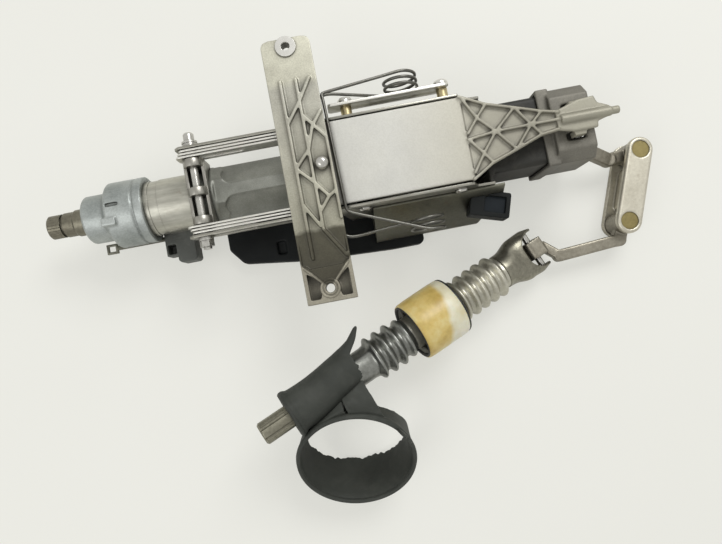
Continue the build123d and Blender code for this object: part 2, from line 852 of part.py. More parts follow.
def lower_arm():
    eye = Vector(link_low_pin[0], link_low_pin[1], link_mid_z)
    knee = Vector(264.5, -101.5, link_mid_z)
    wrist = Vector(208.0, -105.5, -30.5)
    solid = knuckle(eye, eye_outer_radius, link_height - 2 * link_plate - 1.0)
    solid += beam(eye, knee, arm_width, arm_depth) + knuckle(knee, arm_width / 2, arm_depth)
    solid += beam(knee, wrist, arm_width - 1, arm_depth) + knuckle(wrist, (arm_width - 1) / 2, arm_depth)
    block_end = pivot_point - shaft_run * 9.0
    solid += beam(wrist, block_end, ear_gap / 2, arm_depth)
    boss = shaft_frame * Rot(0, 90, 0) * Cylinder(7.0, ear_gap - 0.6)
    head = shaft_frame * Pos(0, 0, -5) * fillet(Box(ear_gap - 0.6, 14, 10).edges().filter_by(Axis.X), 2.0)
    solid += boss + head
    solid -= knuckle(eye, link_pin_radius + running, 60)
    return solid - shaft_frame * Rot(0, 90, 0) * Cylinder(ear_pin_radius + press, 40)


def ear_pin():
    return shaft_frame * Rot(0, 90, 0) * Cylinder(ear_pin_radius, ear_gap + 2 * ear_width - 1)


def bellows_profile(start, folds, pitch):
    """Crests and roots of a corrugated wall, as (radius, station) points."""
    points = []
    for fold in range(folds):
        base = start + fold * pitch
        points += [
            (bellows_root, base),
            (bellows_root, base + pitch * 0.18),
            (bellows_crest - 0.8, base + pitch * 0.36),
            (bellows_crest, base + pitch * 0.5),
            (bellows_crest - 0.8, base + pitch * 0.64),
            (bellows_root, base + pitch * 0.82),
        ]
    return points


def corrugated_tube():
    upper_end = bellows_start + upper_folds * fold_pitch
    lower_end = lower_start + lower_folds * fold_pitch
    outline = [(bore_radius, mouth_start), (neck_radius, mouth_start), (neck_radius + 1.5, 34)]
    outline += bellows_profile(bellows_start, upper_folds, fold_pitch)
    outline += [(bellows_root, upper_end)]
    outline += bellows_profile(lower_start, lower_folds, fold_pitch)
    outline += [(plain_radius, lower_end), (plain_radius, plain_end), (bore_radius, plain_end)]
    face = make_face(Polyline(*[(r, 0, s) for r, s in outline], close=True))
    tube = revolve(face, Axis.Z, 360)
    ears = None
    for side in (-1, 1):
        middle = side * (ear_gap + ear_width) / 2
        ear = Pos(middle, 0, 0) * Rot(0, 90, 0) * Cylinder(ear_radius, ear_width)
        ear += Pos(middle, 0, mouth_start / 2 + 1) * Box(ear_width, 2 * ear_radius, mouth_start + 2)
        ears = ear if ears is None else ears + ear
    root = Pos(0, 0, mouth_start + 1.5) * Box(ear_gap + 2 * ear_width, 16, 5)
    root = root - Cylinder(bore_radius, 100)
    tube = tube + ears + root
    tube -= Rot(0, 90, 0) * Cylinder(ear_pin_radius + running, 60)
    return shaft_frame * tube


def guide_bush():
    middle = (ring_start + ring_end) / 2
    ring = Cylinder(ring_radius, ring_end - ring_start)
    ring = fillet(ring.edges(), 1.2)
    return shaft_frame * Pos(0, 0, middle) * (ring - Cylinder(bellows_crest + 0.02, 100))


def bush_seals():
    pieces = []
    for station in (ring_start + 3, ring_end - 3):
        ring = Cylinder(bellows_crest, 2.5) - Cylinder(bellows_root, 10)
        pieces.append(shaft_frame * Pos(0, 0, station) * ring)
    return pieces


def fluted_end():
    """The sliding end of the lower shaft: a bar with flutes, chamfered at its tip."""
    start = 150.0
    bar = Cylinder(fluted_radius, shaft_length - start)
    bar = chamfer(bar.edges().sort_by(Axis.Z)[-1], 1.5)
    flute = Pos(fluted_radius + 0.6, 0, 0) * Cylinder(1.9, shaft_length)
    for number in range(6):
        bar -= Rot(0, 0, 60 * number) * flute
    return shaft_frame * Pos(0, 0, (start + shaft_length) / 2) * bar


ring_tilt = math.radians(boot_ring_tilt)
ring_drop = boot_ring_band * math.cos(ring_tilt) + boot_ring_small * math.sin(ring_tilt)
ring_place = Pos(*boot_ring_place, floor_level + ring_drop) * Rot(0, 0, boot_ring_turn) * Rot(boot_ring_tilt, 0, 0)


def ring_point(angle, radius, drop):
    """A point on the big ring of the boot: angle round it, radius, and depth below its rim."""
    a = math.radians(angle)
    return ring_place * Pos(radius * math.cos(a), radius * math.sin(a), -drop)


def collar_point(station, radius, angle):
    """A point round the lower shaft: 0 degrees on its far side, 90 on top."""
    a = math.radians(angle)
    return shaft_frame * Pos(-radius * math.cos(a), radius * math.sin(a), station)


def leaf(start, end, lift):
    """A sheet of rubber from one straight edge to another, as thick as the lift is long."""
    faces = []
    for edge in (start, end):
        corners = [place.position for place in edge]
        outline = corners + [corners[1] + lift, corners[0] + lift]
        faces.append(make_face(Polyline(*outline, close=True)))
    return loft(faces, ruled=True)


def boot_ring():
    """The large ring, wide towards the near side and torn away towards the far one."""
    outer = boot_ring_radius
    small = boot_ring_small
    band = boot_ring_band
    face = make_face(Polyline(
        (outer + boot_ring_bead, 0, 0),
        (outer + boot_ring_bead, 0, -4),
        (outer, 0, -6),
        (small, 0, -band),
        (small - boot_wall, 0, -band),
        (outer - boot_wall, 0, -6),
        (outer - boot_wall, 0, 0),
        close=True,
    ))
    ring = revolve(face, Axis.Z, 360)
    slope = math.degrees(math.atan2(band - boot_ring_far_band, 2 * small))
    torn = Pos(0, 0, -(band + boot_ring_far_band) / 2) * Rot(slope, 0, 0) * Pos(0, 0, -band) * Box(200, 200, 2 * band)
    face = make_face(Polyline(
        (outer - boot_wall, 0, -3),
        (outer, 0, -3),
        (outer + 4, 0, 9),
        (outer + 4 - boot_wall, 0, 9),
        close=True,
    ))
    prong = Rot(0, 0, 24) * revolve(face, Axis.Z, 24)
    return ring_place * (ring - torn + prong)


def boot_collar():
    """The collar on the shaft: a lip at its end, and a flare torn off towards the tube."""
    radius = boot_collar_radius
    inner = radius - boot_wall
    face = make_face(Polyline(
        (fluted_radius + 2 * slip, 0, collar_end - 5),
        (fluted_radius + 2 * slip, 0, collar_end),
        (radius + 0.8, 0, collar_end),
        (radius + 0.8, 0, collar_end - 5),
        (radius, 0, collar_end - 7),
        (radius, 0, boot_tear),
        (inner, 0, boot_tear),
        (inner, 0, collar_end - 5),
        close=True,
    ))
    collar = revolve(face, Axis.Z, 360)
    flare = make_face(Polyline(
        (inner, 0, boot_tear + 14),
        (radius, 0, boot_tear + 14),
        (boot_flare_radius, 0, boot_tear - 5),
        (boot_flare_radius - boot_wall, 0, boot_tear - 5),
        (inner, 0, boot_tear + 10),
        close=True,
    ))
    return shaft_frame * (collar + Rot(0, 0, 180 - boot_flare_high) * revolve(flare, Axis.Z, boot_flare_arc))


def boot():
    """The torn rubber boot: its collar on the shaft and the two flaps that carry the large ring."""
    solid = boot_collar()
    inner = boot_collar_radius - boot_wall + 0.4
    wall = boot_ring_radius - boot_wall / 2
    flaps = (
        ((258.0, 172.0), (224.0, 132.0), 156.0, 99.0),
        ((221.0, 128.0), (205.0, 118.0), 94.0, 54.0),
    )
    for near_edge, far_edge, ring_near, ring_far in flaps:
        start = [collar_point(edge[0], inner, edge[1]) for edge in (near_edge, far_edge)]
        end = [ring_point(angle, wall, 6.0) for angle in (ring_near, ring_far)]
        solid += leaf(start, end, Vector(0, 0, boot_wall))
    start = [collar_point(boot_tear - 4, boot_flare_radius - boot_wall, a) for a in (28.0, 50.0)]
    tip = [collar_point(boot_tear - boot_spike, boot_flare_radius + 11, a) for a in (36.0, 41.0)]
    outward = collar_point(0, boot_wall, 39.0).position - pivot_point
    solid += leaf(start, tip, outward)
    solid -= boot_ring()
    outside = solid.solids().sort_by(SortBy.VOLUME)[-1]
    return outside - shaft_frame * Pos(0, 0, collar_end) * Cylinder(fluted_radius + slip, 200)


# Fixed bracket

truss_nodes = {
    "wheel_rib_far": (-9.2, 70.0),
    "wheel_rib_near": (-9.2, -73.0),
    "tail_rib_far": (3.3, 70.0),
    "tail_rib_near": (3.3, -51.5),
    "corner_far": (14.0, 69.5),
    "fork": (3.3, 52.0),
    "fork_foot": (-9.2, 35.0),
    "branch": (3.3, 40.5),
    "edge_a": (18.0, 21.3),
    "edge_b": (18.0, 41.5),
    "cross_a": (9.4, 30.2),
    "middle": (3.3, 12.2),
    "middle_foot": (-9.2, -1.0),
    "lower": (3.3, -14.4),
    "knot": (12.5, -26.8),
    "edge_c": (18.0, -23.5),
    "knot_foot": (3.3, -38.0),
    "last_foot": (-9.2, -30.0),
    "last": (3.3, -52.0),
    "edge_d": (17.5, -74.5),
}
truss_ribs = [
    ("wheel_rib_far", "wheel_rib_near"),
    ("tail_rib_far", "tail_rib_near"),
    ("corner_far", "fork"),
    ("fork", "fork_foot"),
    ("branch", "edge_a"),
    ("edge_b", "cross_a"),
    ("cross_a", "middle"),
    ("middle", "middle_foot"),
    ("middle_foot", "lower"),
    ("lower", "knot"),
    ("knot", "edge_c"),
    ("knot", "knot_foot"),
    ("last_foot", "last"),
    ("last", "edge_d"),
]


def crossmember():
    """The ribbed casting across the column, with one bolt seat at each end."""
    half = cross_half_width
    web_top = seat_height
    web_low = seat_height - cross_web
    top = web_top + truss_height
    low = seat_height - cross_flange
    body = block(-half, half, cross_near_y, cross_far_y, low, web_top)
    body = fillet(body.edges().filter_by(Axis.Z).sort_by(Axis.Y)[-2:], 6.0)
    hollow = block(-half + cross_wall, half - cross_wall, cross_near_y + cross_wall, cross_far_y - cross_wall,
                   low - 1, web_low)
    body -= fillet(hollow.edges().filter_by(Axis.Z).sort_by(Axis.Y)[-2:], 4.0)
    arch = block(-half - 1, half + 1, -44, 44, low - 1, console_top)
    body -= arch
    body += block(-half, half, -console_half_width, console_half_width, console_top, web_top)
    lines = [(truss_nodes[start], truss_nodes[end]) for start, end in truss_ribs]
    body += lattice(lines, truss_width, web_top - 1, top)
    body += block(half - 2.4, half, -46, 22, web_top - 1, top)
    trough = plate_yz([
        (fold_near_y, web_top + truss_height + 1),
        (fold_near_y, web_top),
        (-81, web_top - 2.4),
        (-81, web_top + truss_height + 1),
    ], -half + 1.5, half - 1.5)
    slope = plate_yz([
        (fold_near_y - 0.5, top + 1),
        (fold_near_y - 0.5, top),
        (-84, web_top),
        (cross_near_y - 1, web_top),
        (cross_near_y - 1, top + 1),
    ], -half - 1, half + 1)
    body = body - trough
    trough_lines = [
        (truss_nodes["wheel_rib_far"], truss_nodes["wheel_rib_near"]),
        (truss_nodes["last"], truss_nodes["edge_d"]),
    ]
    body += lattice(trough_lines, truss_width, web_low, top) & block(-half, half, -83, 0, web_low, top)
    body -= slope
    boss_y = -bolt_spacing / 2
    body += block(-half, half, cross_near_y, -82, low, low + pocket_floor)
    for side in (-1, 1):
        window = plate_xy([
            (side * 16.8, -84.0),
            (side * 4.5, -93.5),
            (side * 8.8, -105.4),
            (side * 16.8, -105.4),
        ], low + pocket_floor, web_top + 1)
        body -= window
        body += rib((side * 16.6, -79.5), (side * 5.5, -91.5), truss_width, web_low, web_top)
    body += bar_z(boss_radius, low, web_top, 0, boss_y)
    groove = bar_z(boss_radius - 1.6, web_top - 0.6, web_top + 1, 0, boss_y)
    body -= groove - bar_z(boss_radius - 2.4, web_top - 1, web_top + 1, 0, boss_y)
    body += bar_z(boss_radius + 1, low, web_top, 0, -boss_y)
    for y in (-bolt_spacing / 2, bolt_spacing / 2):
        body -= bar_z(bolt_hole_radius, low - 1, web_top + 1, 0, y)
    body -= bar_z(4.5 + 0.01, console_top - 1, top + 1, 11.5, 0)
    return body


def bracket_stud():
    """The domed rivet that holds the crossmember to the console."""
    top = seat_height
    shank = bar_z(4.5, console_top - console_thickness, top, 11.5, 0)
    head = bar_z(5.4, top, top + 8.0, 11.5, 0)
    head = fillet(head.edges().group_by(Axis.Z)[-1], 4.5)
    tail = bar_z(6.0, console_top - console_thickness - 2.0, console_top - console_thickness, 11.5, 0)
    return shank + head + tail


def seat_washer():
    y = bolt_spacing / 2
    ring = bar_z(washer_radius, seat_height, seat_height + washer_thickness, 0, y)
    return ring - bar_z(bolt_hole_radius, 0, 80, 0, y)


tail_far = [(149.0, 24.0), (171.0, 17.0), (192.0, 10.0), (205.0, 7.0)]
tail_near = [(146.5, -23.5), (167.0, -16.5), (189.0, -8.5), (203.0, -6.8)]
tail_knots = [(140.2, 14.2), (153.1, 0.8), (140.4, -14.9), (182.0, 1.0)]
tail_front = [(131.5, 31.0), (131.0, 3.1), (130.5, -1.8), (130.5, -29.0)]


def console():
    """The cast plate over the channel, and its ribbed tail with the guide pin and wings."""
    plate_low = console_top - console_thickness
    front = block(console_start_x, console_edge_x, -console_half_width, console_half_width, plate_low, console_top)
    front = fillet(front.edges().filter_by(Axis.Z).sort_by(Axis.X)[:2], 4.0)
    far = [(console_edge_x - 1, console_half_width)] + tail_far
    near = [(console_edge_x - 1, -console_half_width)] + tail_near
    floor = plate_xy(far + [(216, 7), (216, -7)] + near[::-1], plate_low, console_top - 1.5)
    solid = front + floor
    rib_low = plate_low
    rib_top = console_top + 2.0
    edges = list(zip(far, far[1:])) + list(zip(near, near[1:]))
    k1, k2, k3, k4 = tail_knots
    f0, f1, f2, f3 = tail_front
    edges += [(f0, k1), (k1, k2), (k2, tail_near[1]), (f1, k1), (k1, tail_far[0])]
    edges += [(f3, k3), (k3, k2), (k2, tail_far[1]), (f2, k3), (k3, tail_near[0])]
    edges += [(f2, k2), (k2, k4), (k4, (214.0, 1.0))]
    edges += [(tail_far[1], k4), (k4, tail_near[2]), (tail_near[1], k4), (k4, tail_far[2])]
    solid += lattice(edges, tail_rib_width, rib_low, rib_top)
    wing = plate_xy([
        (203, 8),
        (222, 14),
        (236, 15),
        (238, 9),
        (tail_wing_x, 5),
        (tail_wing_x, -3),
        (236, -6),
        (235, -11),
        (216, -11),
        (203, -8),
    ], console_top - 2, console_top + 1)
    solid += wing
    rod_height = console_top + 0.6
    solid += tube_x(tail_rod_radius + tail_rod_shoulder, 0, tail_start_x, tail_wing_x, 0, rod_height)
    solid += tube_x(tail_rod_radius, 0, tail_start_x, tail_tip_x, 0, rod_height)
    for y0, y1 in ((9.5, 14.0), (-14.0, -9.5)):
        ear = block(pivot_x - 5, pivot_x + 5, y0, y1, pivot_height, console_top - 1)
        ear += bar_y(5.0, y0, y1, pivot_x, pivot_height)
        solid += ear
    solid -= bar_y(pivot_radius + running, -30, 30, pivot_x, pivot_height)
    return solid - bar_z(4.5 + 0.01, plate_low - 1, console_top + 1, 11.5, 0)


def spring_side(side, corner):
    """Points from the bridge's corner along the upper leg, round the coil and back on the lower leg."""
    leg_y = coil_offset + coil_turns * coil_pitch
    coil_top = coil_height + coil_radius
    points = []
    for part in (0.05, 0.35, 0.7):
        x = corner[0] + (coil_x - corner[0]) * part
        y = corner[1] + (side * leg_y - corner[1]) * part
        points.append((x, y, corner[2] + (coil_top - corner[2]) * part))
    turns = coil_turns - 0.5
    steps = 16
    for step in range(int(steps * turns) + 1):
        a = math.pi / 2 - 2 * math.pi * step / steps
        y = side * (leg_y - coil_pitch * step / steps)
        points.append((coil_x + coil_radius * math.cos(a), y, coil_height + coil_radius * math.sin(a)))
    low_y = side * (leg_y - coil_pitch * turns)
    hook_y = side * (rail_offset + rail_thickness + wire_radius + 0.1)
    high = (spring_hook_x + 14, side * (leg_y - 5.5), clamp_height + 2)
    for part in (0.35, 0.7, 1.0):
        x = coil_x + (high[0] - coil_x) * part
        y = low_y + (high[1] - low_y) * part
        points.append((x, y, coil_height - coil_radius + (high[2] - coil_height + coil_radius) * part))
    points.append((spring_hook_x + 2, hook_y + side * 12, clamp_height + 1))
    points.append((spring_hook_x, hook_y + side * 5, clamp_height))
    points.append((spring_hook_x, hook_y, clamp_height))
    return points


def balance_spring():
    """The double torsion spring: a coil at each side and a bridge along the crossmember."""
    bridge_z = console_top + 2.2
    bridge_x = cross_half_width + wire_radius + 0.6
    middle_y = (spring_far_y + spring_near_y) / 2
    pieces = []
    for side, corner_y in ((1, spring_far_y), (-1, spring_near_y)):
        points = [(bridge_x, middle_y, bridge_z)]
        points += [(bridge_x, corner_y - side * 4, bridge_z)]
        points += spring_side(side, (bridge_x, corner_y, bridge_z))
        section = Plane(origin=points[0], z_dir=(0, side, 0)) * Circle(wire_radius)
        pieces.append(sweep(section, path=Polyline(*points), transition=Transition.RIGHT))
    return pieces


def group(pieces):
    if isinstance(pieces, list):
        return Compound(children=[piece.solid() if hasattr(piece, "solid") else piece for piece in pieces])
    return pieces


def lowered(shape):
    """The finished piece, with the bolt seats at z = 0."""
    return Pos(0, 0, -seat_height) * shape


cross_local = cup_pair()
nodes = {
    "crossmember": crossmember(),
    "console": console(),
    "bracket_stud": bracket_stud(),
    "seat_washer": seat_washer(),
    "balance_spring": balance_spring(),
    "side_frame": side_frame(),
    "far_strips": lamellae(1),
    "near_strips": lamellae(-1),
    "guide_shoes": guide_shoes(),
    "strip_rivets": strip_rivets(),
    "outer_strip": outer_strip(),
    "shouldered_studs": shouldered_studs(),
    "stud_spacers": stud_spacers(),
    "near_rivets": near_rivets(),
    "rear_box": rear_box(),
    "end_carrier": end_carrier(),
    "bearing_plate": carrier_bearing(),
    "rear_bearing": rear_bearing(),
    "pivot_pin": pivot_pin(),
    "side_cover": side_cover(),
    "connector": connector(),
    "connector_insert": connector_insert(),
    "under_tray": under_tray(),
    "tray_bracket": tray_bracket(),
    "jacket_tube": jacket_tube(),
    "outer_tube": outer_tube(),
    "front_housing": front_housing(),
    "housing_bearing": housing_bearing(),
    "clamp_saddle": clamp_saddle(),
    "lock_block": lock_block(),
    "lock_strap": lock_strap(),
    "clamp_rod": clamp_rod(),
    "clamp_nut": clamp_nut(),
    "clamp_sleeves": clamp_sleeves(),
    "wheel_shaft": wheel_shaft(),
    "rear_shaft": rear_shaft(),
    "shaft_cups": [Pos(joint_x, 0, 0) * cup for cup in cross_local],
    "joint_cross": cross_place * cross(),
    "arm_cups": [arm_place * cup for cup in cross_local],
    "upper_arm": upper_arm(),
    "link": link(),
    "link_cups": link_cups(),
    "link_pins": link_pins(),
    "lower_arm": lower_arm(),
    "ear_pin": ear_pin(),
    "corrugated_tube": corrugated_tube(),
    "guide_bush": guide_bush(),
    "bush_seals": bush_seals(),
    "fluted_end": fluted_end(),
    "boot": boot(),
    "boot_ring": boot_ring(),
}

os.makedirs("parts", exist_ok=True)
for name, shape in nodes.items():
    export_step(lowered(group(shape)), f"parts/{name}.step")
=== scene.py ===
import bpy
import bmesh
import json
import math
from mathutils import Matrix, Vector, noise


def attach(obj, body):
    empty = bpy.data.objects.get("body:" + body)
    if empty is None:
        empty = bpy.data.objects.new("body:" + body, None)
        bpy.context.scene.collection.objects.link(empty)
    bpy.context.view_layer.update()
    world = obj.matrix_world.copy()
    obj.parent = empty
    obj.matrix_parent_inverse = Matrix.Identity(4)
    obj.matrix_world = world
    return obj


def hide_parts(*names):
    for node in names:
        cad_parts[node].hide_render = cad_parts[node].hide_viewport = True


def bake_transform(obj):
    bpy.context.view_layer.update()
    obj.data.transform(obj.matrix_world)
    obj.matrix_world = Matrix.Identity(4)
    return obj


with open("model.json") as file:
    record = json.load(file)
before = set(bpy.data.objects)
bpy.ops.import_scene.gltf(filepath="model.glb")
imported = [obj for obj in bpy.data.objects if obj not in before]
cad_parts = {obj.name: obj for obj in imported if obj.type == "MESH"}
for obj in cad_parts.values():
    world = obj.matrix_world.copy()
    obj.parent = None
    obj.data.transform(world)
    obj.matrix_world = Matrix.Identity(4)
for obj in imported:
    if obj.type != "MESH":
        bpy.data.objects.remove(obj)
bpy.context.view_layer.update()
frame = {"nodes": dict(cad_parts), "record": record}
nodes = frame["nodes"]

MM = 0.001

# Shapes are given in mm about the shaft line, which lies this far under the bolt seats
SEAT = 50.0
FLOOR = -50.0
BOLT_Y = 98.0

# Strength of the world as light and as what a gloss shows, and the watts of the lamps
WORLD_LIGHT = 0.5
WORLD_GLOSS = 0.75
KEY_POWER = 14.5
FILL_POWER = 5.5
# How much of the table's own pale tone the camera sees over its lit surface
TABLE_GLOW = 0.58

# The photo's camera
FOCAL_PIXELS = 600.0
PHOTO_WIDTH = 722.0
SENSOR_WIDTH = 36.0
HEADING = math.radians(10.8)
ELEVATION = math.radians(87.0)
CAMERA_PLACE = (0.02110, -0.11444, 0.51929 - SEAT * MM)

# Past a V at the crossmember's near end, where its top is level again, the painted shade of its
# trough is lifted; the V's sides have this slope
V_SLOPE = 1.08


def at(x, y, z):
    """A point about the shaft line in millimetres, as a point of the row frame in metres."""
    return Vector((x, y, z - SEAT)) * MM


# Materials

class Nodes:
    """A small helper that wires shader nodes."""

    def __init__(self, name):
        self.mat = bpy.data.materials.new(name)
        self.mat.use_nodes = True
        self.tree = self.mat.node_tree
        self.tree.nodes.clear()
        self.out = self.add("ShaderNodeOutputMaterial")
        self.bsdf = self.add("ShaderNodeBsdfPrincipled")
        self.link(self.bsdf, "BSDF", self.out, "Surface")
        self.coords = self.add("ShaderNodeTexCoord")
        self.rounded = None

    def add(self, kind, **values):
        node = self.tree.nodes.new(kind)
        for key, value in values.items():
            setattr(node, key, value)
        return node

    def link(self, a, out, b, into):
        self.tree.links.new(a.outputs[out], b.inputs[into])

    def mapping(self, scale):
        node = self.add("ShaderNodeMapping")
        node.inputs["Scale"].default_value = scale
        self.link(self.coords, "Object", node, "Vector")
        return node

    def noise(self, scale, detail=4.0, rough=0.55, vector=None, distortion=0.0):
        node = self.add("ShaderNodeTexNoise")
        node.inputs["Scale"].default_value = scale
        node.inputs["Detail"].default_value = detail
        node.inputs["Roughness"].default_value = rough
        node.inputs["Distortion"].default_value = distortion
        if vector is None:
            self.link(self.coords, "Object", node, "Vector")
        else:
            self.link(vector, "Vector", node, "Vector")
        return node

    def ramp(self, source, output, stops):
        """Turns a value into a colour; stops are (place, colour or grey)."""
        node = self.add("ShaderNodeValToRGB")
        elements = node.color_ramp.elements
        while len(elements) > len(stops):
            elements.remove(elements[-1])
        while len(elements) < len(stops):
            elements.new(1.0)
        for element, (place, colour) in zip(elements, stops):
            element.position = place
            if not isinstance(colour, (tuple, list)):
                colour = (colour, colour, colour)
            element.color = (*colour, 1.0)
        self.link(source, output, node, "Fac")
        return node

    def mix(self, fac, a, b, blend="MIX"):
        """Mixes two colours; each of a, b is a node or a colour, fac is a node or a number."""
        node = self.add("ShaderNodeMix", data_type="RGBA", blend_type=blend)
        for socket, value in ((0, fac), (6, a), (7, b)):
            if hasattr(value, "outputs"):
                out = "Color" if "Color" in value.outputs else 0
                if value.bl_idname == "ShaderNodeMix":
                    out = 2
                self.tree.links.new(value.outputs[out], node.inputs[socket])
            elif socket == 0:
                node.inputs[0].default_value = value
            else:
                node.inputs[socket].default_value = (*value, 1.0)
        return node

    def math(self, kind, a, b=0.0):
        """One operation of arithmetic; each of a, b is a node or a number."""
        node = self.add("ShaderNodeMath", operation=kind)
        for socket, value in ((0, a), (1, b)):
            if hasattr(value, "outputs"):
                out = "Fac" if value.bl_idname == "ShaderNodeTexNoise" else 0
                self.tree.links.new(value.outputs[out], node.inputs[socket])
            else:
                node.inputs[socket].default_value = value
        return node

    def hollow(self, distance, amount):
        """How far the surface is closed in by what stands round it: the mask of painted shade in
        recesses and between parts, where some dirt gathers too.
        """
        node = self.add("ShaderNodeAmbientOcclusion", samples=6)
        node.inputs["Distance"].default_value = distance
        return self.ramp(node, "AO", [(0.45, amount), (0.92, 0.0)])

    def edge(self, radius, amount):
        """Where an edge turns within the radius; it also rounds the edge in the shading."""
        self.rounded = self.add("ShaderNodeBevel", samples=4)
        self.rounded.inputs["Radius"].default_value = radius
        plain = self.add("ShaderNodeNewGeometry")
        turn = self.add("ShaderNodeVectorMath", operation="DOT_PRODUCT")
        self.tree.links.new(self.rounded.outputs["Normal"], turn.inputs[0])
        self.tree.links.new(plain.outputs["Normal"], turn.inputs[1])
        return self.ramp(turn, "Value", [(0.82, amount), (0.985, 0.0)])

    def zones(self, colour, axis, stops):
        """Tints a colour along an axis of the row frame; stops are (place in mm, tint).

        "Y less X" is Y less the distance from the line X = 0, so that its stops lie along a V.
        """
        first = stops[0][0]
        last = stops[-1][0]
        split = self.add("ShaderNodeSeparateXYZ")
        self.link(self.coords, "Object", split, "Vector")
        source = split.outputs[axis[0]]
        if axis == "Y less X":
            side = self.math("ABSOLUTE", 0.0)
            self.tree.links.new(split.outputs["X"], side.inputs[0])
            lean = self.math("MULTIPLY", side, -V_SLOPE)
            total = self.math("ADD", lean)
            self.tree.links.new(split.outputs["Y"], total.inputs[1])
            source = total.outputs[0]
        sway = self.math("MULTIPLY", self.noise(60.0, 3.0, 0.6), 0.006)
        place = self.add("ShaderNodeMath", operation="ADD")
        self.tree.links.new(source, place.inputs[0])
        self.tree.links.new(sway.outputs[0], place.inputs[1])
        along_axis = self.add("ShaderNodeMapRange")
        along_axis.inputs["From Min"].default_value = first * MM + 0.003
        along_axis.inputs["From Max"].default_value = last * MM + 0.003
        self.link(place, "Value", along_axis, "Value")
        places = [((where - first) / (last - first), shade) for where, shade in stops]
        tint = self.ramp(along_axis, "Result", places)
        return self.mix(1.0, colour, tint, "MULTIPLY")

    def base(self, node):
        out = 2 if node.bl_idname == "ShaderNodeMix" else "Color"
        self.tree.links.new(node.outputs[out], self.bsdf.inputs["Base Color"])

    def roughness(self, source, output, low, high):
        node = self.add("ShaderNodeMapRange")
        node.inputs["To Min"].default_value = low
        node.inputs["To Max"].default_value = high
        self.link(source, output, node, "Value")
        self.link(node, "Result", self.bsdf, "Roughness")

    def bump(self, *layers):
        """Layers of (source, output, strength, distance in metres), coarse to fine."""
        last = self.rounded
        for source, output, strength, distance in layers:
            node = self.add("ShaderNodeBump")
            node.inputs["Strength"].default_value = strength
            node.inputs["Distance"].default_value = distance
            self.link(source, output, node, "Height")
            if last is not None:
                self.link(last, "Normal", node, "Normal")
            last = node
        self.link(last, "Normal", self.bsdf, "Normal")


def cast_metal(name, light, dark, dirt, dirt_amount=0.45, metallic=0.65, rough=(0.38, 0.6),
               grain=900.0, bump=0.35, fleck=0.72, shade=0.9, reach=0.004, zones=()):
    """A blasted die casting: fine grain, soft blotches, stains of dirt, tint zones, and painted
    shade with some dirt in the recesses.
    """
    m = Nodes(name)
    blotch = m.noise(28.0, 5.0, 0.6)
    tone = m.ramp(blotch, "Fac", [(0.30, dark), (0.62, light)])
    speck = m.noise(grain, 2.0, 0.6)
    flecks = m.ramp(speck, "Fac", [(0.38, (fleck, fleck, fleck - 0.02)), (0.60, (1.0, 1.0, 1.0))])
    grained = m.mix(0.55, tone, flecks, "MULTIPLY")
    stain = m.noise(9.0, 8.0, 0.68, distortion=0.6)
    where = m.ramp(stain, "Fac", [(0.52, 0.0), (0.74, dirt_amount)])
    dirt_and_painted_light = m.mix(where, grained, dirt)
    # Tint zones along an axis; on the crossmember they are painted light and shade
    for axis, stops in zones:
        dirt_and_painted_light = m.zones(dirt_and_painted_light, axis, stops)
    bright = tuple(min(1.0, c * 1.25 + 0.05) for c in light)
    worn = m.mix(m.edge(0.0006, 0.3), dirt_and_painted_light, bright)
    # Painted shade: darker towards a dark dirt tone in recesses and between parts
    m.base(m.mix(m.hollow(reach, shade), worn, tuple(c * 0.35 for c in dirt)))
    m.bsdf.inputs["Metallic"].default_value = metallic
    m.roughness(blotch, "Fac", rough[0], rough[1])
    m.bump((blotch, "Fac", bump * 0.4, 0.0004), (speck, "Fac", bump, 0.00012))
    return m.mat


def steel(name, light, dark, rust=(0.16, 0.09, 0.05), rust_amount=0.25, metallic=0.9,
          rough=(0.22, 0.45), stretch=(1, 1, 1), scale=60.0, shade=0.75):
    """Bare or plated steel: drawn streaks along one direction, handling marks, spots of rust and
    painted shade in its hollows.
    """
    m = Nodes(name)
    drawn = m.mapping(stretch)
    streak = m.noise(scale * 6, 6.0, 0.65, vector=drawn)
    blotch = m.noise(scale * 0.5, 5.0, 0.6)
    contrast = [(0.3, 0.0), (0.7, 1.0)]
    both = m.mix(0.5, m.ramp(streak, "Fac", contrast), m.ramp(blotch, "Fac", contrast))
    tone = m.mix(both, dark, light)
    spot = m.noise(scale * 2.4, 9.0, 0.72, distortion=0.4)
    where = m.ramp(spot, "Fac", [(0.56, 0.0), (0.70, rust_amount)])
    rusty = m.mix(where, tone, rust)
    bright = tuple(min(1.0, c * 1.15 + 0.04) for c in light)
    worn = m.mix(m.edge(0.0004, 0.3), rusty, bright)
    # Painted shade: darker towards a dark tone in hollows and between parts
    m.base(m.mix(m.hollow(0.004, shade), worn, tuple(c * 0.3 for c in dark)))
    m.bsdf.inputs["Metallic"].default_value = metallic
    m.roughness(spot, "Fac", rough[0], rough[1])
    m.bump((blotch, "Fac", 0.1, 0.0003), (streak, "Fac", 0.2, 0.00008))
    return m.mat


def moulded(name, light, dark, dust, dust_amount=0.3, rough=(0.4, 0.62), bump=0.25, gloss=0.5):
    """Moulded plastic or paint: a fine spark-eroded grain, scuffs and a film of dust."""
    m = Nodes(name)
    blotch = m.noise(22.0, 6.0, 0.6)
    tone = m.ramp(blotch, "Fac", [(0.32, dark), (0.68, light)])
    film = m.noise(60.0, 8.0, 0.7, distortion=0.5)
    where = m.ramp(film, "Fac", [(0.48, 0.0), (0.78, dust_amount)])
    dusty = m.mix(where, tone, dust)
    m.base(m.mix(m.edge(0.0005, 0.18), dusty, dust))
    m.bsdf.inputs["Specular IOR Level"].default_value = gloss
    m.roughness(film, "Fac", rough[0], rough[1])
    fine = m.noise(1400.0, 2.0, 0.5)
    m.bump((film, "Fac", bump * 0.5, 0.0002), (fine, "Fac", bump, 0.00006))
    return m.mat


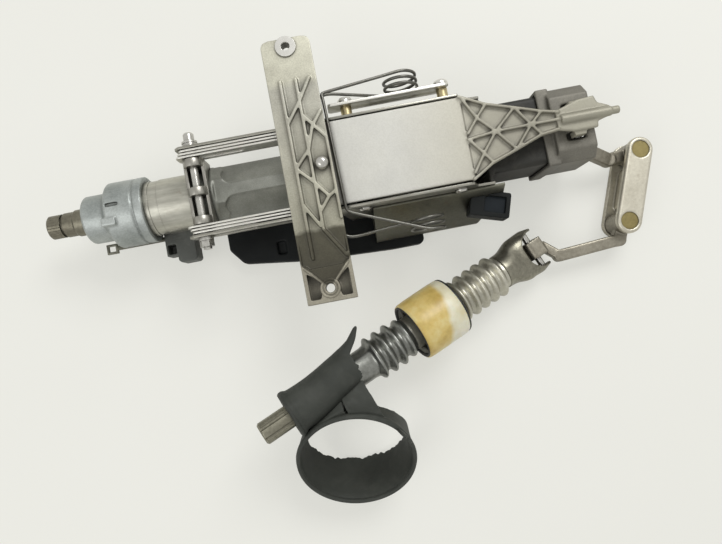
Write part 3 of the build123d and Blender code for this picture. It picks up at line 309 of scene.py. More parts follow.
alloy_pale = cast_metal(
    "blasted_alloy", (0.60, 0.595, 0.55), (0.545, 0.54, 0.505), (0.30, 0.28, 0.24), 0.12,
    metallic=0.35, rough=(0.42, 0.58), fleck=0.88, zones=[
        ("X", [(70, 1.0), (126, (0.84, 0.82, 0.76)), (136, (0.62, 0.60, 0.53)),
               (180, (0.50, 0.48, 0.42)), (235, (0.60, 0.58, 0.50))]),
    ])
# Painted light and shade on the crossmember: dark on the near trough, which slopes away from the
# light, and bright on the far pad, which faces it; a wide hollow reach paints shade on its pocket
# floors
alloy_cross = cast_metal(
    "weathered_alloy_with_painted_light", (0.52, 0.51, 0.44), (0.36, 0.35, 0.30), (0.17, 0.16, 0.12), 0.35,
    metallic=0.45, rough=(0.36, 0.55), reach=0.009, zones=[
        ("Y", [(-90, (0.15, 0.14, 0.11)), (-53, (0.20, 0.19, 0.15)), (-50, (0.80, 0.79, 0.72)),
               (0, (0.95, 0.94, 0.90)), (64, 1.05), (70, (1.3, 1.3, 1.24))]),
        ("Y less X", [(-99, (5.0, 5.1, 6.0)), (-97, 1.0)]),
    ])
alloy_housing = cast_metal(
    "housing_alloy", (0.47, 0.50, 0.485), (0.25, 0.275, 0.265), (0.15, 0.15, 0.13), 0.4,
    metallic=0.6, rough=(0.34, 0.5))
alloy_jacket = cast_metal(
    "jacket_alloy", (0.33, 0.335, 0.30), (0.20, 0.205, 0.18), (0.09, 0.09, 0.075), 0.35,
    metallic=0.6, rough=(0.34, 0.55), grain=1100.0, bump=0.5)
alloy_carrier = cast_metal(
    "carrier_alloy", (0.20, 0.19, 0.16), (0.11, 0.105, 0.09), (0.05, 0.05, 0.04), 0.4,
    metallic=0.4, rough=(0.4, 0.62))
rail_steel = steel(
    "rail_steel", (0.84, 0.83, 0.78), (0.60, 0.59, 0.54), stretch=(0.12, 1, 1), shade=0.2)
saddle_steel = steel("saddle_steel", (0.44, 0.43, 0.385), (0.26, 0.25, 0.225), stretch=(1, 0.15, 1))
frame_steel = steel("frame_steel", (0.44, 0.43, 0.38), (0.24, 0.235, 0.20), stretch=(0.12, 1, 1))
tube_steel = steel(
    "tube_steel", (0.58, 0.57, 0.50), (0.26, 0.255, 0.215), stretch=(0.15, 1, 1), scale=45.0)
shaft_steel = steel(
    "shaft_steel", (0.26, 0.245, 0.19), (0.13, 0.12, 0.09), rust=(0.08, 0.06, 0.04),
    rust_amount=0.5, rough=(0.32, 0.5))
fluted_steel = steel(
    "fluted_steel", (0.34, 0.33, 0.26), (0.15, 0.14, 0.105), rust=(0.12, 0.09, 0.06),
    rust_amount=0.45, rough=(0.28, 0.45))
bright_steel = steel(
    "bright_steel", (0.66, 0.65, 0.61), (0.40, 0.39, 0.36), rust_amount=0.08, rough=(0.16, 0.32))
folded_steel = steel(
    "folded_steel", (0.60, 0.585, 0.50), (0.36, 0.345, 0.28), rust=(0.30, 0.25, 0.17),
    rust_amount=0.25, rough=(0.28, 0.44), metallic=0.8)
# A darker copy of the folded steel for the tube's mouth: painted shade over its lobes, with more
# rust
mouth_steel_painted_shade = steel(
    "mouth_steel_painted_shade", (0.34, 0.325, 0.26), (0.12, 0.115, 0.09), rust=(0.09, 0.075, 0.05),
    rust_amount=0.4, rough=(0.25, 0.42), metallic=0.85)
dull_steel = steel(
    "dull_steel", (0.34, 0.345, 0.32), (0.15, 0.155, 0.14), rust=(0.10, 0.08, 0.06),
    rust_amount=0.35, rough=(0.22, 0.40))
zinc_white = steel(
    "white_zinc", (0.78, 0.77, 0.73), (0.60, 0.59, 0.55), rust_amount=0.05, rough=(0.2, 0.35))
zinc_yellow = steel(
    "yellow_zinc", (0.58, 0.50, 0.30), (0.40, 0.33, 0.18), rust=(0.3, 0.28, 0.24),
    rust_amount=0.4, rough=(0.26, 0.42))
cup_brass = steel(
    "cup_brass", (0.32, 0.265, 0.11), (0.20, 0.16, 0.065), rust=(0.10, 0.08, 0.05),
    rust_amount=0.4, metallic=0.7, rough=(0.34, 0.5))
link_steel = steel(
    "link_steel", (0.68, 0.65, 0.55), (0.44, 0.41, 0.33), rust=(0.22, 0.16, 0.10),
    rust_amount=0.3, rough=(0.3, 0.48), metallic=0.75)
arm_steel = steel(
    "arm_steel", (0.38, 0.355, 0.29), (0.18, 0.165, 0.13), rust=(0.16, 0.11, 0.07),
    rust_amount=0.45, rough=(0.3, 0.48), metallic=0.85)
wire_steel = steel(
    "wire_steel", (0.20, 0.197, 0.175), (0.09, 0.088, 0.078), rust_amount=0.2, rough=(0.25, 0.4))
# A darker copy of the frame steel: painted shade on the side cover, which sits under the console's
# near edge; the lock strap shares it
cover_steel = steel(
    "cover_steel", (0.19, 0.188, 0.15), (0.11, 0.108, 0.085), rust_amount=0.2, rough=(0.3, 0.5))
black_plastic = moulded(
    "black_moulding", (0.013, 0.015, 0.015), (0.006, 0.007, 0.007), (0.08, 0.08, 0.075), 0.06,
    gloss=0.15)
black_paint = moulded(
    "black_paint", (0.030, 0.029, 0.023), (0.012, 0.012, 0.010), (0.16, 0.15, 0.12), 0.3,
    gloss=0.35)
grey_plastic = moulded(
    "lock_plastic", (0.085, 0.09, 0.08), (0.055, 0.06, 0.052), (0.30, 0.30, 0.28), 0.3)
blue_plastic = moulded(
    "blue_moulding", (0.014, 0.019, 0.023), (0.008, 0.011, 0.014), (0.08, 0.09, 0.10), 0.10,
    gloss=0.15)
seal_black = moulded("seal_rubber", (0.02, 0.02, 0.02), (0.01, 0.01, 0.01), (0.1, 0.1, 0.1), 0.2)
rubber_grey = moulded(
    "boot_rubber", (0.052, 0.056, 0.048), (0.030, 0.033, 0.028), (0.12, 0.12, 0.105), 0.25,
    rough=(0.5, 0.7), bump=0.4, gloss=0.3)

looks = {
    "crossmember": alloy_cross, "console": alloy_pale, "bracket_stud": bright_steel,
    "seat_washer": zinc_white, "balance_spring": wire_steel, "side_frame": frame_steel,
    "guide_shoes": black_plastic, "far_strips": rail_steel, "near_strips": rail_steel,
    "strip_rivets": bright_steel, "outer_strip": rail_steel, "shouldered_studs": zinc_white,
    "stud_spacers": zinc_yellow, "near_rivets": bright_steel, "rear_box": black_paint,
    "end_carrier": alloy_carrier, "bearing_plate": rail_steel, "rear_bearing": bright_steel,
    "pivot_pin": bright_steel, "side_cover": cover_steel, "connector": black_plastic,
    "connector_insert": blue_plastic, "under_tray": black_plastic, "tray_bracket": rail_steel,
    "jacket_tube": alloy_jacket, "outer_tube": tube_steel, "front_housing": alloy_housing,
    "housing_bearing": bright_steel, "clamp_saddle": saddle_steel, "lock_block": grey_plastic,
    "lock_strap": cover_steel, "clamp_rod": bright_steel, "clamp_nut": bright_steel,
    "clamp_sleeves": bright_steel, "wheel_shaft": shaft_steel, "rear_shaft": tube_steel,
    "shaft_cups": bright_steel, "joint_cross": arm_steel, "arm_cups": bright_steel,
    "upper_arm": arm_steel, "link": link_steel, "link_cups": cup_brass, "link_pins": bright_steel,
    "lower_arm": arm_steel, "ear_pin": bright_steel, "corrugated_tube": folded_steel,
    "guide_bush": zinc_yellow, "bush_seals": seal_black, "fluted_end": fluted_steel,
    "boot": rubber_grey, "boot_ring": rubber_grey,
}
for name, material in looks.items():
    mesh = nodes[name].data
    mesh.materials.clear()
    mesh.materials.append(material)

body_of = {}
for body, names in frame["record"]["behaviour"]["bodies"].items():
    for name in names:
        body_of[name] = body


def apply_modifiers(obj):
    for modifier in list(obj.modifiers):
        with bpy.context.temp_override(object=obj, active_object=obj):
            bpy.ops.object.modifier_apply(modifier=modifier.name)


def skin_of(name):
    """A closed copy of a CAD node's mesh, with its flat faces whole."""
    mesh = nodes[name].data.copy()
    sheet = bmesh.new()
    sheet.from_mesh(mesh)
    bmesh.ops.remove_doubles(sheet, verts=sheet.verts, dist=2e-6)
    bmesh.ops.dissolve_limit(
        sheet, angle_limit=math.radians(0.5), verts=sheet.verts, edges=sheet.edges)
    sheet.to_mesh(mesh)
    sheet.free()
    mesh.name = name + "_skin"
    obj = bpy.data.objects.new(name + "_skin", mesh)
    bpy.context.scene.collection.objects.link(obj)
    bpy.context.view_layer.objects.active = obj
    return obj


def softened(name, voxel, rounds):
    """A cast or forged skin over a CAD node: every edge and every corner takes a small radius."""
    obj = skin_of(name)
    remesh = obj.modifiers.new("skin", "REMESH")
    remesh.mode = "VOXEL"
    remesh.voxel_size = voxel * MM
    smooth = obj.modifiers.new("radii", "SMOOTH")
    smooth.factor = 0.5
    smooth.iterations = rounds
    apply_modifiers(obj)
    obj.data.shade_smooth()
    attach(obj, body_of[name])
    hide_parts(name)
    return obj


def broken_edges(name, width):
    """A copy of a CAD node whose sharp edges are broken by a small bevel."""
    obj = skin_of(name)
    bevel = obj.modifiers.new("edges", "BEVEL")
    bevel.width = width * MM
    bevel.segments = 2
    bevel.limit_method = "ANGLE"
    bevel.angle_limit = math.radians(32)
    bevel.use_clamp_overlap = False
    apply_modifiers(obj)
    obj.data.shade_smooth()
    obj.data.set_sharp_from_angle(angle=math.radians(38))
    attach(obj, body_of[name])
    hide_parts(name)
    return obj


castings = {
    "crossmember": (0.6, 3), "console": (0.7, 4), "jacket_tube": (0.8, 6), "end_carrier": (0.8, 6),
    "rear_box": (0.9, 5), "front_housing": (0.7, 5), "connector": (0.5, 4), "lock_block": (0.6, 5),
    "under_tray": (0.8, 5), "link": (0.6, 6), "upper_arm": (0.6, 7), "lower_arm": (0.6, 7),
}
for name, (voxel, rounds) in castings.items():
    softened(name, voxel, rounds)
pressings = ("side_frame", "far_strips", "near_strips", "outer_strip", "side_cover", "clamp_saddle",
             "lock_strap", "tray_bracket", "bearing_plate")
for name in pressings:
    broken_edges(name, 0.3)

# Builders of the pieces that the scene alone has

def mesh_object(name, verts, faces, material, body):
    """A smooth piece that rides on a body."""
    mesh = bpy.data.meshes.new(name)
    mesh.from_pydata([tuple(v) for v in verts], [], faces)
    mesh.validate()
    mesh.materials.append(material)
    for polygon in mesh.polygons:
        polygon.use_smooth = True
    obj = bpy.data.objects.new(name, mesh)
    bpy.context.scene.collection.objects.link(obj)
    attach(obj, body)
    return obj


def grid(rows, closed=False):
    """Vertices and faces of a sheet from rows of points; closed joins each row's ends."""
    verts = [p for row in rows for p in row]
    wide = len(rows[0])
    faces = []
    for r in range(len(rows) - 1):
        for c in range(wide if closed else wide - 1):
            d = (c + 1) % wide
            faces.append((r * wide + c, r * wide + d, (r + 1) * wide + d, (r + 1) * wide + c))
    return verts, faces


def thicken(obj, thickness):
    """Gives a sheet a wall, half on each side of it, and one subdivision."""
    solid = obj.modifiers.new("thickness", "SOLIDIFY")
    solid.thickness = thickness * MM
    solid.offset = 0.0
    sub = obj.modifiers.new("smooth", "SUBSURF")
    sub.levels = 1
    sub.render_levels = 1
    bpy.context.view_layer.objects.active = obj
    apply_modifiers(obj)


def sheet_piece(name, rows, material, body, closed=True, wall=0.0):
    """A piece from rows of points; a wall in mm makes it a thick and subdivided sheet."""
    verts, faces = grid(rows, closed)
    obj = mesh_object(name, verts, faces, material, body)
    if wall:
        thicken(obj, wall)
    return obj


def lathe(name, frame_axis, profile, material, body, steps=96, wobble=None):
    """A turned shape: profile is (radius, station) in mm along the line of frame_axis."""
    origin, side, other, along = frame_axis
    rows = []
    for radius, station in profile:
        row = []
        for step in range(steps):
            a = 2 * math.pi * step / steps
            r = radius
            if wobble is not None:
                r = wobble(radius, station, a)
            p = origin + along * station + side * (r * math.cos(a)) + other * (r * math.sin(a))
            row.append(at(*p))
        rows.append(row)
    verts, faces = grid(rows, closed=True)
    faces = [tuple(reversed(face)) for face in faces]
    return mesh_object(name, verts, faces, material, body)


def wire(name, points, radius, material):
    """A round wire through points in mm about the shaft line, smoothed by a cubic curve."""
    data = bpy.data.curves.new(name, "CURVE")
    data.dimensions = "3D"
    data.bevel_depth = radius * MM
    data.bevel_resolution = 4
    data.use_fill_caps = True
    spline = data.splines.new("NURBS")
    spline.points.add(len(points) - 1)
    for point, place in zip(spline.points, points):
        point.co = (*at(*place), 1.0)
    spline.use_endpoint_u = True
    spline.order_u = 4
    spline.resolution_u = 10
    obj = bpy.data.objects.new(name, data)
    bpy.context.scene.collection.objects.link(obj)
    mesh = bpy.data.meshes.new_from_object(obj.evaluated_get(bpy.context.evaluated_depsgraph_get()))
    bpy.data.objects.remove(obj)
    mesh.name = name
    mesh.materials.clear()
    mesh.materials.append(material)
    for polygon in mesh.polygons:
        polygon.use_smooth = True
    piece = bpy.data.objects.new(name, mesh)
    bpy.context.scene.collection.objects.link(piece)
    return piece


# Relief round the near bolt seat: a ringed boss, and the two ribs that run to it

def seat_ring(name, radius, profile):
    """A ring that stands a little over the seat face; profile is (from the radius, height)."""
    rows = []
    for r, z in profile:
        row = []
        for step in range(72):
            a = 2 * math.pi * step / 72
            reach = radius + r
            row.append(at(reach * math.cos(a), reach * math.sin(a) - BOLT_Y, SEAT + z))
        rows.append(row)
    sheet_piece(name, rows, alloy_cross, "bracket")


raised = [(-1.0, -0.2), (-0.9, 0.35), (-0.5, 0.6), (0.0, 0.65), (0.5, 0.6), (0.9, 0.35),
          (1.0, -0.2)]
seat_ring("boss_ring_outer", 7.0, raised)
seat_ring("boss_ring_inner", 4.6, [(r * 0.6, z * 0.7) for r, z in raised])


def seat_rib(name, start, end, half, rise):
    """A low rib with a rounded crest on the seat face."""
    start = Vector(start)
    end = Vector(end)
    across_rib = (end - start).orthogonal().normalized() * half
    section = ((-1.0, -0.3), (-0.8, 0.55 * rise), (-0.35, 0.95 * rise),
               (0.35, 0.95 * rise), (0.8, 0.55 * rise), (1.0, -0.3))
    rows = []
    for k, swell in ((0.0, 0.2), (0.04, 1.0), (0.5, 1.0), (0.96, 1.0), (1.0, 0.2)):
        middle = start.lerp(end, k)
        row = []
        for side, height in section:
            place = middle + across_rib * side
            row.append(at(place.x, place.y, SEAT + height * swell))
        rows.append(row)
    sheet_piece(name, rows, alloy_cross, "bracket", closed=False)


for number, side in enumerate((-1, 1)):
    seat_rib("seat_rib_%d" % number, (side * 17.6, -79.5), (side * 5.2, -92.6), 1.3, 1.1)


# The lower shaft's own line: stations are counted from the pin in its ears

ear_pin = Vector((185.0, -96.0, -30.0))
shaft_tip = Vector((-76.6, -203.0, 32.0))
along = (shaft_tip - ear_pin).normalized()
across = Vector((0, 0, 1)).cross(along).normalized()
above = along.cross(across).normalized()
if above.z < 0:
    above = -above
shaft_line = (ear_pin, across, above, along)

# Balance spring: two coils joined by a bridge along the crossmember

def spring_half(side, corner):
    """From the bridge's corner along the upper leg, round the coil and back on the lower leg."""
    centre = Vector((87.5, 0, 25.0))
    radius = 13.5
    points = []
    for k in (0.12, 0.35, 0.6, 0.85):
        x = corner[0] + (centre.x - corner[0]) * k
        y = corner[1] + (side * 66.0 - corner[1]) * k
        points.append((x, y, corner[2] + (centre.z + radius - corner[2]) * k))
    steps = 16
    for step in range(int(steps * 2.5) + 1):
        a = math.pi / 2 - 2 * math.pi * step / steps
        y = side * (66.2 - 5.0 * step / steps)
        swell = radius / math.cos(math.pi / steps) * 1.012
        points.append((centre.x + swell * math.cos(a), y, centre.z + swell * math.sin(a)))
    low = Vector((centre.x, side * 53.4, centre.z - radius))
    high = Vector((25.0, side * 60.5, 33.5))
    for k in (0.2, 0.5, 0.8, 1.0):
        points.append(tuple(low.lerp(high, k)))
    points += [(18.0, side * 58.0, 34.5), (13.0, side * 50.0, 33.5), (10.0, side * 42.0, 32.0),
               (9.5, side * 38.4, 31.5)]
    return points


far_corner = (20.9, 57.0, 45.6)
near_corner = (23.6, -40.5, 44.8)
far_half = spring_half(1, far_corner)
near_half = spring_half(-1, near_corner)
bridge = [far_corner, (21.5, 54.5, 46.2), (21.9, 40.0, 46.3), (22.4, 15.0, 46.3),
          (23.1, -12.0, 46.3), (23.6, -34.0, 46.2), near_corner]
spring_path = list(reversed(near_half)) + list(reversed(bridge)) + far_half
spring = wire("spring_wire", spring_path, 1.3, wire_steel)
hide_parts("balance_spring")
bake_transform(spring)


# Corrugated tube: rolled folds, a flared mouth and two curled ears

def fold_profile():
    """Five folds before the bush, four past it and the plain end, as (radius, station)."""
    points = [(13.6, 33.0), (14.2, 36.0), (15.0, 39.0), (15.2, 41.5)]
    for first, count, pitch, crest in ((42.0, 5, 10.3, 19.6), (142.5, 4, 10.2, 19.4)):
        for fold in range(count):
            base = first + fold * pitch
            height = crest - (1.2 if fold == 0 and count == 4 else 0.0)
            for k, h in ((0.0, 0.0), (0.14, 0.06), (0.26, 0.42), (0.36, 0.82), (0.44, 0.98),
                         (0.5, 1.0), (0.56, 0.98), (0.64, 0.82), (0.74, 0.42), (0.86, 0.06)):
                points.append((15.0 + (height - 15.0) * h, base + pitch * k))
        points.append((15.0, first + count * pitch))
    points += [(14.5, 186.0), (14.4, 200.0), (14.4, 214.6), (14.0, 215.0), (11.0, 215.0),
               (10.2, 214.0)]
    return points


def dented(radius, station, a):
    """Rolled folds are never quite round."""
    sway = noise.noise(Vector((math.cos(a) * 1.3, math.sin(a) * 1.3, station * 0.09)))
    fine = noise.noise(Vector((math.cos(a) * 4.0, math.sin(a) * 4.0, station * 0.3)))
    return radius + sway * 0.45 + fine * 0.12


corrugated = lathe("corrugated_wall", shaft_line, fold_profile(), folded_steel, "corrugated_shaft",
                   128, dented)
corrugated.data.materials.append(dull_steel)
below_bush = at(*(ear_pin + along * 120.0)).dot(along)
for polygon in corrugated.data.polygons:
    if polygon.center.dot(along) > below_bush:
        polygon.material_index = 1


# Flared mouth of the corrugated tube: its wall opens out and runs on as two ears round the arm

def mouth_rows():
    """Round the tube the wall goes from a circle to a flat oval with a lobe on each side."""
    rows = []
    steps = 120
    stations = 26
    for i in range(stations + 1):
        k = i / stations
        row = []
        for step in range(steps):
            a = 2 * math.pi * step / steps
            lobe = abs(math.cos(a)) ** 2.6
            end = 13.0 - 21.5 * lobe
            s = 40.0 + (end - 40.0) * k
            open_out = min(1.0, max(0.0, (36.0 - s) / 22.0))
            open_out = open_out * open_out * (3 - 2 * open_out)
            wide = 14.8 + 5.2 * open_out
            thin = 14.8 - 4.6 * open_out
            c = math.copysign(abs(math.cos(a)) ** (1 - 0.25 * open_out), math.cos(a))
            d = math.copysign(abs(math.sin(a)) ** (1 - 0.15 * open_out), math.sin(a))
            wide -= 2.6 * max(0.0, (2.0 - s) / 10.0)
            dent = 0.5 * noise.noise(Vector((c * 2, d * 2, s * 0.12)))
            p = ear_pin + along * s + across * ((wide + dent) * c) + above * ((thin + dent) * d)
            row.append(at(*p))
        rows.append(row)
    return rows


sheet_piece("tube_mouth", mouth_rows(), mouth_steel_painted_shade, "corrugated_shaft", wall=2.4)

# Guide bush: a barrel of aged nylon over a sleeve, with a black lip at each end

def nylon():
    """Aged nylon: ochre towards the boot, cream towards the ears, with a slanting border."""
    m = Nodes("aged_nylon")
    lean = along - across * 0.23
    border = at(*(ear_pin + along * 109.5)).dot(lean)
    dot = m.add("ShaderNodeVectorMath", operation="DOT_PRODUCT")
    dot.inputs[1].default_value = tuple(lean)
    m.link(m.coords, "Object", dot, "Vector")
    sway = m.add("ShaderNodeMapRange")
    sway.inputs["To Min"].default_value = -0.006
    sway.inputs["To Max"].default_value = 0.006
    m.link(m.noise(38.0, 3.0, 0.5), "Fac", sway, "Value")
    place = m.add("ShaderNodeMath", operation="ADD")
    m.tree.links.new(dot.outputs["Value"], place.inputs[0])
    m.tree.links.new(sway.outputs["Result"], place.inputs[1])
    width = m.add("ShaderNodeMapRange")
    width.inputs["From Min"].default_value = border - 0.0025
    width.inputs["From Max"].default_value = border + 0.0025
    m.link(place, "Value", width, "Value")
    cloud = m.noise(45.0, 4.0, 0.6)
    cream = m.ramp(cloud, "Fac", [(0.35, (0.68, 0.63, 0.42)), (0.62, (0.82, 0.80, 0.66))])
    ochre = m.ramp(cloud, "Fac", [(0.34, (0.52, 0.37, 0.10)), (0.50, (0.66, 0.50, 0.17)),
                                  (0.68, (0.74, 0.64, 0.32))])
    band = m.add("ShaderNodeMix", data_type="RGBA")
    m.tree.links.new(width.outputs["Result"], band.inputs[0])
    m.tree.links.new(cream.outputs["Color"], band.inputs[6])
    m.tree.links.new(ochre.outputs["Color"], band.inputs[7])
    m.base(band)
    m.bsdf.inputs["Subsurface Weight"].default_value = 0.25
    m.bsdf.inputs["Subsurface Radius"].default_value = (0.006, 0.004, 0.002)
    m.bsdf.inputs["Subsurface Scale"].default_value = 0.6
    scratch = m.noise(160.0, 5.0, 0.6)
    m.roughness(scratch, "Fac", 0.24, 0.42)
    m.bump((cloud, "Fac", 0.15, 0.0004), (scratch, "Fac", 0.12, 0.0001))
    return m.mat


nylon_aged = nylon()
bush = lathe("bush_barrel", shaft_line, [
    (20.6, 96.5), (25.2, 95.4), (26.2, 95.9), (26.8, 97.5), (27.0, 104.0), (27.0, 118.0),
    (26.9, 130.0), (26.6, 136.4), (25.9, 138.2), (24.6, 138.5), (23.6, 137.6), (23.2, 134.0),
    (20.6, 133.0),
], nylon_aged, "corrugated_shaft", 112)
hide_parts("guide_bush")
lathe("bush_sleeve", shaft_line, [
    (19.8, 95.0), (20.6, 95.0), (20.8, 100.0), (20.8, 131.0), (22.2, 135.5), (22.6, 137.0),
    (21.6, 137.2), (20.4, 133.0), (19.8, 130.0),
], wire_steel, "corrugated_shaft", 96)
bush_lip = lathe("bush_lip_front", shaft_line, [
    (24.9, 95.6), (25.3, 94.5), (26.2, 94.4), (26.5, 95.2), (26.2, 96.2), (25.2, 96.2),
], seal_black, "corrugated_shaft", 96)
lathe("bush_lip_back", shaft_line, [
    (22.6, 136.8), (22.9, 138.6), (24.0, 139.2), (25.0, 138.8), (25.2, 137.8), (24.2, 136.8),
    (23.0, 136.2),
], seal_black, "corrugated_shaft", 96)
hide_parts("bush_seals")
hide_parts("corrugated_tube")

# Torn rubber boot: a collar on the shaft, its flare, and the big ring folded down to the table

BOOT_WALL = 2.6
RING_TURN = math.radians(-8.0)
RING_TILT = math.radians(32.0)
RING_RADIUS = 48.2
RING_FAR_DEPTH = 17.0
RING_NEAR_DEPTH = 45.5
RING_TAPER = 5.0
COLLAR_END = 263.0
COLLAR_TEAR = 206.0
COLLAR_RADIUS = 17.6

ring_turn = Matrix.Rotation(RING_TURN, 3, "Z") @ Matrix.Rotation(RING_TILT, 3, "X")
ring_centre = Vector((-7.0, -243.5, 12.6))


def ring_place(theta, radius, drop):
    """A point on the big ring: angle round it, radius, and depth below its rim."""
    local = Vector((radius * math.cos(theta), radius * math.sin(theta), -drop))
    return ring_centre + ring_turn @ local


def torn(x, rough=1.0, seed=0.0):
    """A ragged line: long waves with sharp little steps."""
    wave = noise.noise(Vector((x * 1.7 + seed, seed, 0.3))) * 3.2
    step = noise.noise(Vector((x * 6.0 + seed, 2.0, seed))) * 2.4
    tooth = noise.noise(Vector((x * 19.0 + seed, 5.0, seed))) * 1.3
    return rough * (wave + step + tooth)


def ring_rows():
    """The ring's wall: deep on the near side, torn away on the far one, and a little crumpled."""
    rows = []
    around = 220
    levels = 22
    for i in range(levels + 1):
        k = i / levels
        row = []
        for j in range(around):
            theta = 2 * math.pi * j / around
            near = 0.5 - 0.5 * math.sin(theta)
            depth = RING_FAR_DEPTH + (RING_NEAR_DEPTH - RING_FAR_DEPTH) * near ** 0.8
            depth += torn(theta * 2.2, 0.9, 3.1) * (0.4 + 0.6 * near)
            drop = 0.8 + (depth - 0.8) * k
            radius = RING_RADIUS - RING_TAPER * (k * depth / RING_NEAR_DEPTH) ** 1.1
            bead = math.exp(-((k * depth - 1.6) / 2.2) ** 2)
            radius += 1.1 * bead
            c = math.cos(theta)
            d = math.sin(theta)
            radius += 0.9 * noise.noise(Vector((c * 1.2, d * 1.2, k * 0.8)))
            crumple = noise.noise(Vector((c * 2.5 + 4, d * 2.5, k * 1.8)))
            radius += crumple * 0.8 * k
            row.append(at(*ring_place(theta, radius, drop)))
        rows.append(row)
    return rows


boot_band = sheet_piece("boot_band", ring_rows(), rubber_grey, "boot", wall=2.8)
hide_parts("boot_ring")

rim_rows = []
for j in range(161):
    theta = 2 * math.pi * j / 160
    row = []
    for i in range(10):
        a = 2 * math.pi * i / 10
        rad = 48.6 + 1.9 * math.cos(a)
        row.append(at(*ring_place(theta, rad, 1.8 + 2.2 * math.sin(a))))
    rim_rows.append(row)
sheet_piece("boot_rim", rim_rows, rubber_grey, "boot")


def shaft_place(station, radius, a):
    """A point round the lower shaft: a is 0 on the far side and a quarter turn at the top."""
    centre = ear_pin + along * station
    return centre - across * (radius * math.cos(a)) + above * (radius * math.sin(a))


def collar_rows():
    """The collar on the shaft: its bead, the flare on its far side and the torn edge's spike."""
    rows = []
    around = 180
    for i in range(31):
        k = i / 30
        row = []
        for j in range(around):
            a = 2 * math.pi * j / around
            far = max(0.0, math.cos(a - 0.75)) ** 1.4
            top = max(0.0, math.cos(a - 1.75)) ** 2
            edge = COLLAR_TEAR - 6.0 * far + torn(a * 3.0, 0.8, 8.0)
            spike = math.exp(-((a - 0.68) / 0.12) ** 2)
            spike += 0.45 * math.exp(-((a - 0.50) / 0.20) ** 2)
            edge -= 15.0 * spike
            edge -= 5.0 * top
            if a > 1.9:
                edge += 12.0 * max(0.0, math.sin(a - 1.9)) ** 2
            s = COLLAR_END + (edge - COLLAR_END) * k
            flare = max(0.0, (238.0 - s) / 40.0)
            radius = COLLAR_RADIUS + (6.5 * far + 0.8 * (1 - top)) * flare ** 1.25
            radius -= 1.6 * max(0.0, math.cos(a - 2.4)) ** 2
            radius += 9.0 * spike * max(0.0, (204.0 - s) / 20.0) ** 1.2
            bead = math.exp(-((s - 260.0) / 2.4) ** 2)
            radius += 2.3 * bead
            radius += 0.5 * noise.noise(Vector((math.cos(a) * 2, math.sin(a) * 2, s * 0.06)))
            row.append(at(*shaft_place(s, radius, a)))
        rows.append(row)
    return rows


boot_collar = sheet_piece("boot_collar", collar_rows(), rubber_grey, "boot", wall=BOOT_WALL)
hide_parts("boot")

lip_rows = []
for j in range(121):
    a = 2 * math.pi * j / 120
    row = []
    for i in range(8):
        b = 2 * math.pi * i / 8
        row.append(at(*shaft_place(261.2 + 2.0 * math.sin(b), 16.4 + 4.2 * math.cos(b), a)))
    lip_rows.append(row)
sheet_piece("boot_lip", lip_rows, rubber_grey, "boot")


def flap(name, start, end, ring_start, ring_end, bulge, seed):
    """A sheet from the collar to the far wall of the ring, with a torn edge on each side.

    start and end are (station, angle, radius) on the shaft; ring_start and ring_end are angles.
    """
    rows = []
    wide = 40
    deep = 26
    for i in range(deep + 1):
        k = i / deep
        row = []
        for j in range(wide + 1):
            u = j / wide
            edge_seed = seed + (0 if j < wide / 2 else 7)
            ragged = torn(k * 2.5, 0.010, edge_seed) * (abs(u - 0.5) * 2) ** 3
            v = min(1.0, max(0.0, u + ragged))
            s = start[0] + (end[0] - start[0]) * v
            a = start[1] + (end[1] - start[1]) * v
            r = start[2] + (end[2] - start[2]) * v
            top = shaft_place(s, r, a)
            theta = ring_start + (ring_end - ring_start) * v
            low = ring_place(theta, 47.2, 5.0)
            middle = top.lerp(low, 0.5) + Vector((0, 0, bulge))
            p = top * (1 - k) ** 2 + middle * 2 * k * (1 - k) + low * k ** 2
            p.z += 0.9 * noise.noise(Vector((u * 3, k * 3, seed)))
            row.append(at(*p))
        rows.append(row)
    sheet_piece(name, rows, rubber_grey, "boot", closed=False, wall=BOOT_WALL)


quarter = math.pi / 2
flap("boot_flap_left", (258.0, 1.90 * quarter, 19.2), (223.0, 1.42 * quarter, 20.0),
     math.radians(158), math.radians(97), 4.0, 1.0)
flap("boot_flap_right", (222.0, 1.38 * quarter, 20.2), (200.0, 1.22 * quarter, 20.6),
     math.radians(95), math.radians(56), 7.0, 4.0)


def prong_rows():
    """The torn piece of wall that still stands up from the rim on the right."""
    rows = []
    for i in range(13):
        k = i / 12
        row = []
        for j in range(19):
            u = j / 18
            theta = math.radians(46 - 28 * u)
            peak = 13.0 * max(0.0, 1 - abs(u - 0.12) / 0.36)
            peak += 5.0 * max(0.0, 1 - abs(u - 0.62) / 0.30)
            peak += torn(u * 3.0, 0.5, 11.0)
            rise = -3.0 + (3.0 + max(0.0, peak)) * k
            row.append(at(*ring_place(theta, 48.8 + 0.5 * rise, -rise)))
        rows.append(row)
    return rows


sheet_piece("boot_prong", prong_rows(), rubber_grey, "boot", closed=False, wall=BOOT_WALL)


# Floor, light and camera

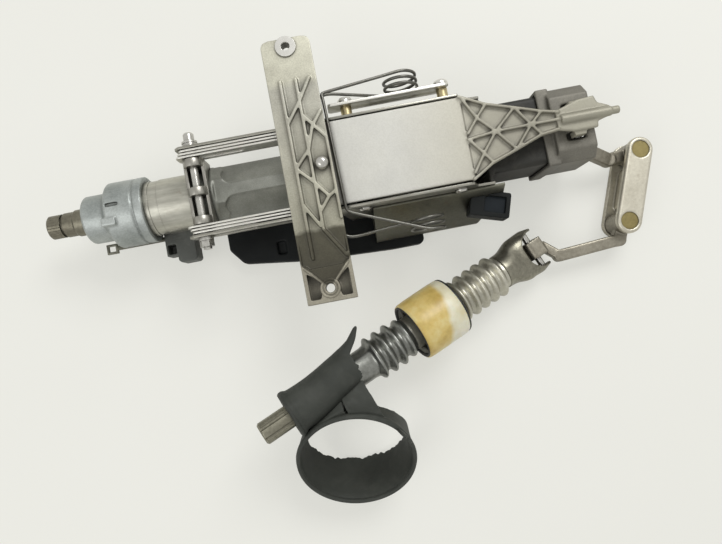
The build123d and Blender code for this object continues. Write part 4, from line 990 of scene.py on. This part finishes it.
floor_mesh = bpy.data.meshes.new("floor")
floor = bpy.data.objects.new("floor", floor_mesh)
bpy.context.scene.collection.objects.link(floor)
sheet = bmesh.new()
bmesh.ops.create_grid(sheet, x_segments=1, y_segments=1, size=6.0)
sheet.to_mesh(floor_mesh)
sheet.free()
floor.location = (0, 0, (FLOOR - SEAT) * MM)
table = Nodes("pale_table")
cloud = table.noise(3.0, 3.0, 0.5)
table.base(table.ramp(cloud, "Fac", [(0.3, (0.86, 0.855, 0.80)), (0.7, (0.90, 0.895, 0.84))]))
table.bsdf.inputs["Roughness"].default_value = 0.6
fine = table.noise(500.0, 2.0, 0.5)
table.bump((fine, "Fac", 0.05, 0.0001))
glow = table.add("ShaderNodeEmission")
glow.inputs["Color"].default_value = (0.845, 0.845, 0.79, 1.0)
seen = table.add("ShaderNodeLightPath")
share = table.math("MULTIPLY", TABLE_GLOW)
table.tree.links.new(seen.outputs["Is Camera Ray"], share.inputs[1])
both = table.add("ShaderNodeMixShader")
table.tree.links.new(share.outputs["Value"], both.inputs["Fac"])
table.tree.links.new(table.bsdf.outputs["BSDF"], both.inputs[1])
table.tree.links.new(glow.outputs["Emission"], both.inputs[2])
table.link(both, "Shader", table.out, "Surface")
floor_mesh.materials.append(table.mat)

world = bpy.data.worlds.new("studio")
bpy.context.scene.world = world
world.use_nodes = True
tree = world.node_tree
background = tree.nodes["Background"]
background.inputs["Color"].default_value = (1.0, 0.995, 0.97, 1.0)
rays = tree.nodes.new("ShaderNodeLightPath")
strength = tree.nodes.new("ShaderNodeMapRange")
strength.inputs["To Min"].default_value = WORLD_LIGHT
strength.inputs["To Max"].default_value = WORLD_GLOSS
tree.links.new(rays.outputs["Is Glossy Ray"], strength.inputs["Value"])
tree.links.new(strength.outputs["Result"], background.inputs["Strength"])


def lamp(name, place, size, power):
    """A round soft lamp that looks at the middle of the part."""
    data = bpy.data.lights.new(name, "AREA")
    data.shape = "DISK"
    data.size = size
    data.energy = power
    obj = bpy.data.objects.new(name, data)
    bpy.context.scene.collection.objects.link(obj)
    obj.location = place
    aim = (Vector((0.03, -0.08, -0.05)) - Vector(place)).to_track_quat("-Z", "Y")
    obj.rotation_euler = aim.to_euler()


lamp("key_light", (0.7, 0.9, 1.3), 0.9, KEY_POWER)
lamp("fill_light", (-0.9, -0.6, 1.2), 1.1, FILL_POWER)

right = Vector((math.cos(HEADING), -math.sin(HEADING), 0))
ahead = Vector((math.sin(HEADING), math.cos(HEADING), 0))
forward = ahead * math.cos(ELEVATION) - Vector((0, 0, math.sin(ELEVATION)))
up = ahead * math.sin(ELEVATION) + Vector((0, 0, math.cos(ELEVATION)))
camera_data = bpy.data.cameras.new("camera")
camera = bpy.data.objects.new("camera", camera_data)
bpy.context.scene.collection.objects.link(camera)
camera_data.sensor_width = SENSOR_WIDTH
camera_data.lens = SENSOR_WIDTH * FOCAL_PIXELS / PHOTO_WIDTH
camera_data.clip_start = 0.01
camera.matrix_world = Matrix((
    (right.x, up.x, -forward.x, CAMERA_PLACE[0]),
    (right.y, up.y, -forward.y, CAMERA_PLACE[1]),
    (right.z, up.z, -forward.z, CAMERA_PLACE[2]),
    (0, 0, 0, 1),
))
bpy.context.scene.camera = camera
bpy.context.scene.view_settings.view_transform = "Standard"
